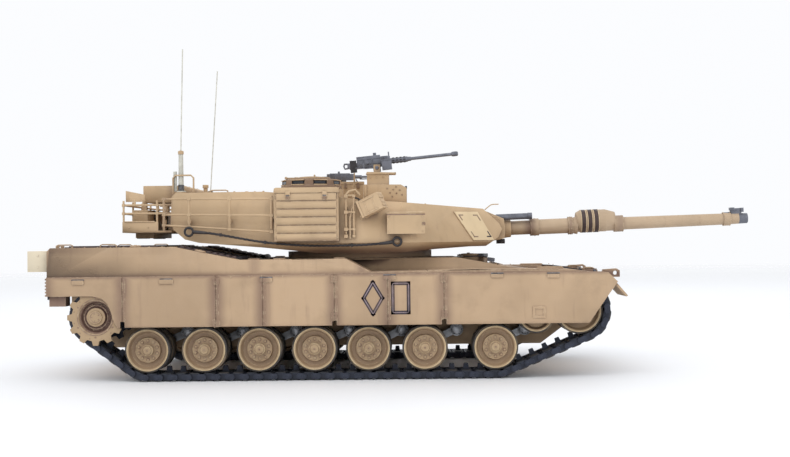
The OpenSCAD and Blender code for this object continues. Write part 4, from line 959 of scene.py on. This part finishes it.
# Vision blocks and bolts round the commander's station, and the race of its gun
for k in range(8):
    a = 45 * k + 22.5
    turret.at((*CUPOLA, 167.7), (0, 0, a))
    turret.box((25.5, -4.9, 4.7), (25.9, 4.9, 7.1), "glass")
    turret.box((25.2, -6.2, 7.7), (27.3, 6.2, 8.4), "turret")
    turret.box((25.2, -6.2, 3.4), (27.6, 6.2, 4.2), "turret")
for y, x in circle(28.9, 20):
    turret.stud((CUPOLA[0] + x, CUPOLA[1] + y, 167.6), (0, -90, 0), 0.7, 0.6, "turret")
for y, x in circle(20.6, 12):
    turret.stud((LOADER[0] + x, LOADER[1] + y, 165.4), (0, -90, 0), 0.7, 0.6, "turret")
turret.at((*LOADER, 0), (0, 0, 35))
turret.box((24, -7, 157.4), (30, 7, 163.4), "turret")
turret.box((29.9, -5.6, 159), (30.3, 5.6, 162.4), "glass")
# Ventilator dome, roof plates and weld lines
turret.at((-20, 40, 154.6), (0, -85, 0))
turret.lathe([(-1, 9), (1.4, 9), (2.2, 8.2), (3.6, 5.4), (4, 2)], "turret", 28)
turret.at()
turret.tube([(-15, -80, 154.7), (-15, 0, 154.7), (-15, 80, 154.7)], 0.35, "turret", 6)
turret.tube([(-124, -80, 164.5), (-124, 80, 164.5)], 0.35, "turret", 6)
# Lid, hinges and handles of the ammunition box
turret.at()
turret.box((-60.6, -3.5, 174), (-37.4, 5.5, 176.4), "turret")
for x in (-55, -43):
    turret.box((x - 1.2, -3.9, 170), (x + 1.2, -3.1, 175), "wheel_dark")
# Bent wire and hook on the nose
turret.tube([(76, -20, 147.6), (79.5, -20, 150.6), (82, -20.2, 152.2), (84, -20.4, 152.6), (89, -20.4, 152.7)], 0.5,
            "turret", 8)
turret.tube([(80, -22, 140), (83, -22.6, 141.8), (88, -20.4, 140.2), (91, -18, 137)], 0.35, "turret", 6)
turret.done()

# Cheek panels, pale with two dark and two pale corner marks
run = CORNER - FOOT
fall = ROOF_CORNER - FOOT
across = Vector((run.y, -run.x, 0)).normalized()
panel_turn = (-math.degrees(math.atan2(-fall.dot(across), 48)), 0, math.degrees(math.atan2(run.y, run.x)))
for side in SIDES:
    panel = Piece(f"{side}_cheek_panel", "turret", "turret_sand")
    panel.place = (Matrix.Diagonal((1, SIDES[side], 1, 1)) @ Matrix.Translation(FOOT)
                   @ Matrix.Rotation(math.radians(panel_turn[2]), 4, "Z")
                   @ Matrix.Rotation(math.radians(panel_turn[0]), 4, "X"))
    slant = [(18.9, 1), (44, 1), (59.2, 28.8), (30.8, 28.8)]
    panel.prism(slant, -1.15, -0.8, "pale")
    for points, paint in (([(22, 4.4), (26.4, 4.4)], "mark"), ([(22, 4.4), (24.4, 9.2)], "mark"),
                          ([(38, 4.4), (42.2, 4.4), (44.6, 9)], "hull_dark"),
                          ([(30.2, 20.6), (32.6, 25.4), (37, 25.4)], "hull_dark"),
                          ([(50, 25.4), (54.4, 25.4), (52, 20.8)], "hull_dark")):
        stroke(panel, points, 1.2, -1.32, 0.2, paint)
    panel.done(0.1)

# ---------------------------------------------------------------- smoke launchers, cables, antennas

for side in SIDES:
    launcher = Piece(f"{side}_launcher_caps", "turret", "turret_sand")
    launcher.at((-27, 97.4, 151), (0, -24, 20), side)
    for z in (-3.7, 3.5):
        for y in (-3.4, 0, 3.4):
            launcher.lathe_at((10.1, y, z), [(0, 1.75), (0.9, 1.75), (0.9, 1.35), (0.7, 1.3)], "turret", 16)
            launcher.lathe_at((10.5, y, z), [(0, 1.3), (0.25, 1.2)], "cable", 16)
    launcher.box((-10.8, -5.8, -7.8), (-9, 5.8, 7.8), "turret")
    launcher.box((-6, 5.3, -6.3), (6, 5.9, -5.2), "turret")
    launcher.box((-6, 5.3, 5.2), (6, 5.9, 6.3), "turret")
    launcher.bolts([(10.5, 4.6, 0)], 0.5, 0.3, "turret")
    for x in (-4, 4):
        launcher.tube([(x, 5.4, -5), (x, 5.4, 5)], 0.4, "turret", 8)
    launcher.at(side=side)
    launcher.tube([(-34, 96, 144.6), (-37, 95, 141), (-36, 92, 139), (-33, 90.4, 141)], 0.8, "turret", 8)
    launcher.tube([(-36, 96, 150), (-38.6, 94, 152), (-39, 91, 154), (-37, 88, 156)], 0.7, "cable", 8)
    launcher.box((-35.4, 88.4, 143), (-22.6, 91, 144.6), "turret")
    launcher.done()

CABLE = [(-181, 92.4, 129), (-170, 93.4, 128), (-158, 94.2, 126), (-144, 95, 123.4), (-130, 95, 120.8),
         (-116, 95, 118.8), (-100, 95, 117.2), (-84, 95, 116.2), (-68, 95, 115.8), (-52, 95, 115.9),
         (-36, 95.2, 116.2), (-22, 95, 117), (-12, 94.2, 118)]


def along(points, step):
    """Points at even steps along a route, on a smooth curve."""
    spots = [Vector(p) for p in points]
    out = []
    for i in range(len(spots) - 1):
        a, b = spots[max(i - 1, 0)], spots[i]
        c, d = spots[i + 1], spots[min(i + 2, len(spots) - 1)]
        count = max(1, round((c - b).length / step))
        for k in range(count):
            t = k / count
            out.append(0.5 * (2 * b + (c - a) * t + (2 * a - 5 * b + 4 * c - d) * t * t
                              + (3 * b - a - 3 * c + d) * t ** 3))
    return out + [spots[-1]]


for side in SIDES:
    cable = Piece(f"{side}_tow_cable", "turret", "cable_black").at(side=side)
    line = along(CABLE, 1.1)
    for strand in range(3):
        route = []
        for k, p in enumerate(line):
            ahead = (line[min(k + 1, len(line) - 1)] - line[max(k - 1, 0)]).normalized()
            out = ahead.cross(Vector((0, 0, 1))).normalized()
            up = out.cross(ahead)
            a = 2 * math.pi * strand / 3 + k * 0.55
            route.append(p + 0.55 * (math.cos(a) * out + math.sin(a) * up))
        cable.tube(route, 0.58, "cable", 6)
    for x, y, z in ((-188, 92.6, 129.4), (-5.4, 93.6, 118.8)):
        cable.at((x, y, z), (0, 0, 90), side)
        cable.ring(0, 3.6, 1.05, "cable", 28, 8)
    cable.at(side=side)
    cable.tube([(-184.4, 92.3, 129.3), (-179, 92.6, 128.9), (-172, 93.2, 128.2)], [1.7, 1.6, 1.2], "cable", 12)
    cable.tube([(-9.4, 93.8, 118.4), (-14, 94.3, 117.8), (-21, 95, 117.1)], [1.7, 1.6, 1.2], "cable", 12)
    for x, y, z in ((-160, 94, 126.4), (-121, 95, 119.4), (-45, 95, 116)):
        cable.box((x - 0.8, y - 3.5, z - 1.5), (x + 0.8, y + 1.3, z + 1.5), "cable")
    cable.done()
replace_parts(bpy.data.objects["right_tow_cable"], "tow_cables")
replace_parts(bpy.data.objects["left_tow_cable"], "tow_cables")

masts = Piece("antenna_mounts", "turret", "antenna_grey")
for (x, y), tall in (((-199.2, -68), 36), ((-196, 68), 6)):
    masts.at((x, y, 164.42), (0, -90, 0))
    masts.lathe([(0, 4.8), (0.8, 4.8), (1.2, 4.4), (1.2, 3)], "turret", 24)
    masts.bolts([(0.8, *p) for p in circle(3.7, 4, 0.8)], 0.6, 0.6, "wheel_dark")
    for k in range(6):
        masts.ring(2.6 + 0.9 * k, 2.5 if tall < 10 else 2.45, 0.42, "arm_dark", 18, 6)
    masts.lathe([(tall - 1, 2.6), (tall + 1.6, 2.6), (tall + 2, 2.0), (tall + 2.4, 1)], "turret", 16)
masts.at()
# Bracket and hoop beside the right antenna
masts.box((-206, -69, 166), (-203, -67, 184), "antenna")
masts.tube([(-206, -70, 164), (-206, -70, 178), (-204, -70, 180.4), (-190, -70, 180.4), (-187.6, -70, 178),
            (-187.6, -70, 164)], 0.8, "turret", 8)
masts.done()

rack = Piece("rack_hardware", "turret", "turret_sand")
for side in SIDES:
    rack.at(side=side)
    rack.box((-246, 30, 124.2), (-236, 39.6, 125), "track")
    for z in (146.5, 154):
        rack.box((-251.3, 71.8, z - 1.2), (-248.8, 74.2, z + 1.2), "turret")
        rack.box((-221.2, 71.8, z - 1.2), (-218.8, 74.2, z + 1.2), "turret")
    rack.tube([(-222, 74.1, 139.2), (-249, 74.1, 139.2)], 0.5, "turret", 8)
    for x in (-245, -228):
        rack.stud((x, 74, 134), (0, 0, 90), 0.7, 0.5, "turret", side)
    # Strap round the roll, and the lid of the box above it
    rack.at(side=side)
    rack.box((-245.5, 28, 131), (-231.5, 31, 150.4), "cable")
    rack.box((-236.4, 20, 172), (-200, 21.2, 172.6), "turret")
rack.done()

# ---------------------------------------------------------------- gun, machine guns and hatches

gun = Piece("gun_hardware", "gun", "turret_sand")
gun.at(GUN_ROOT, (0, -GUN_RISE, 0))
for x, r in ((26.9, 8.2), (34.4, 8.2), (62.9, 8.4), (66.4, 8.4), (114.4, 7.8), (209.9, 6.5), (215.9, 6.5)):
    gun.ring(x, r - 0.2, 0.35, "barrel", 40, 6)
for x in (74.6, 79.0, 80.6, 85.0, 86.6, 91.0):
    gun.at(GUN_ROOT, (0, -GUN_RISE, 0))
    gun.place = gun.place @ Matrix.Translation((0, 0, 3.6))
    gun.ring(x, 10.75, 0.3, "pale", 44, 6)
gun.at(GUN_ROOT, (0, -GUN_RISE, 0))
for x in (30.6, 64.8):
    for y, z in circle(8.3, 6, 0.4):
        gun.bolts([(x, y * 0.98, z * 0.98)], 0.7, 0.6, "barrel")
gun.box((217.4, -2.4, 7.6), (227.6, 2.4, 9.8), "gun")
gun.box((226.4, -3, 6), (229, 3, 10), "gun")
gun.tube([(28, -8, 10.6), (24, -8, 10.6)], 3.2, "gun", 16)
gun.lathe_at((27.8, -8, 10.6), [(0, 1.6), (0.3, 1.4)], "cable", 12)
for y in (-12, 12):
    gun.stud((60, y, 147.2), (0, -68, 0), 0.9, 0.8, "turret")
gun.done()

heavy = Piece("heavy_gun_hardware", "heavy_machine_gun", "gun_metal")
heavy.at((-24, -33, 187), (0, -5.5, 0))
# Cover, charging handle, sights, slotted jacket, grips and the cradle's pins
heavy.box((-17, -3.3, 8.8), (11, 3.3, 10.4), "gun")
heavy.tube([(-8, -3, 5.4), (-8, -5.6, 5.4)], 0.9, "gun", 10)
heavy.tube([(6, -3, 7), (6, -5.2, 7)], 1.1, "arm_dark", 10)
for x in (-20, -12, -4, 8):
    heavy.box((x - 0.5, -3.4, 1.4), (x + 0.5, 3.4, 8.6), "gun")
heavy.box((-16, -3.25, 3.4), (4, -3.0, 4.6), "arm_dark")
heavy.box((-2.4, -0.8, 12), (0.6, 0.8, 14.4), "gun")
heavy.box((11.4, -0.6, 10), (12.6, 0.6, 14), "gun")
for k in range(4):
    for a in range(6):
        y, z = 2.62 * math.cos(a * math.pi / 3), 2.62 * math.sin(a * math.pi / 3)
        heavy.box((15 + 3.4 * k, y - 0.5, 5.4 + z - 0.5), (16.8 + 3.4 * k, y + 0.5, 5.4 + z + 0.5), "cable")
heavy.lathe_at((28.6, 0, 5.4), [(0, 2.2), (3, 2.0), (4, 1.6)], "gun", 16)
heavy.lathe_at((71, 0, 5.4), [(0, 2.3), (3.6, 2.3), (4.4, 1.9)], "gun", 16)
for y in (-2.2, 2.2):
    heavy.tube([(-27, y, 2.6), (-29.6, y, 2.4), (-30.4, y, 4.6), (-29.6, y, 6.8), (-27, y, 6.6)], 0.7, "gun", 8)
heavy.box((-24.6, -1, 6.4), (-22, 1, 9.4), "gun")
heavy.box((-3.4, -3.6, -3.4), (3.4, -2.9, 3), "gun")
heavy.box((-3.4, 2.9, -3.4), (3.4, 3.6, 3), "gun")
heavy.box((4.6, -12.6, 5.6), (14.4, -5.0, 6.4), "gun")
for k in range(5):
    heavy.tube([(9.5, -6.2 + 0.9 * k, 5.8 + 0.25 * k), (12.5, -6.2 + 0.9 * k, 5.8 + 0.25 * k)], 0.42, "brass", 8)
heavy.tube([(-20, -3.2, 2), (-10, -4, 0.4), (2, -3.6, 0.2)], 0.45, "gun", 8)
heavy.box((-24.4, -3.6, -2.2), (-18.4, -3.0, 9), "cable")
heavy.done()

light = Piece("loader_gun_hardware", "loader_machine_gun", "gun_metal")
light.at((-60, 60, 170))
light.box((-14, -2.7, 16.6), (6, 2.7, 18), "gun")
light.box((-6, -0.6, 18), (-4, 0.6, 20), "gun")
light.tube([(12, 0, 12.2), (14, 0, 8.6)], 0.6, "gun", 8)
light.tube([(16, 0, 12.2), (26, 0, 12.4)], 0.6, "gun", 8)
light.lathe_at((25, 0, 14.4), [(0, 1.5), (3, 1.5), (3.4, 1.2)], "gun", 12)
light.tube([(-12, 0, 11.4), (-13.4, 0, 7.4), (-12, 0, 6.2)], 0.9, "gun", 8)
light.box((-9.4, 2.2, 14.6), (2.4, 8.4, 15.4), "gun")
light.ring(0.2, 2.0, 0.4, "gun", 16, 6)
for x in (-14, -8, -2, 4):
    light.box((x - 0.4, -2.6, 11.4), (x + 0.4, 2.6, 16.8), "gun")
light.done()

for name, body, (x, y), z, r in (("commander_hatch_hardware", "commander_hatch", CUPOLA, 178.6, 17.6),
                                 ("loader_hatch_hardware", "loader_hatch", LOADER, 167.3, 19)):
    lid = Piece(name, body, "turret_sand")
    lid.at((x, y, z), (0, -90, 0))
    lid.bolts([(0, *p) for p in circle(r - 2.4, 10, 0.3)], 0.75, 0.6, "turret")
    lid.ring(0.9, 0.4 * r, 0.3, "turret", 28, 6)
    lid.at()
    handle(lid, (x + 3, y - 4, z + 0.8), (x + 3, y + 4, z + 0.8), (0, 0, 1.9), 0.5, "turret")
    for dy in (-8.5, 8.5):
        lid.stud((x - 0.8 * r, y + dy, z + 0.1), (0, -90, 0), 0.7, 0.5, "wheel_dark")
    lid.done()

lid = Piece("driver_hatch_hardware", "driver_hatch", "hull_sand")
lid.at((62, 0, 105.9), (0, -90, 0))
lid.bolts([(0, *p) for p in circle(9.8, 8, 0.4)], 0.6, 0.5, "hull")
lid.stud((62, 16, 106.7), (0, -90, 0), 1.6, 0.8, "hull")
lid.done()

make_camera()
make_studio()
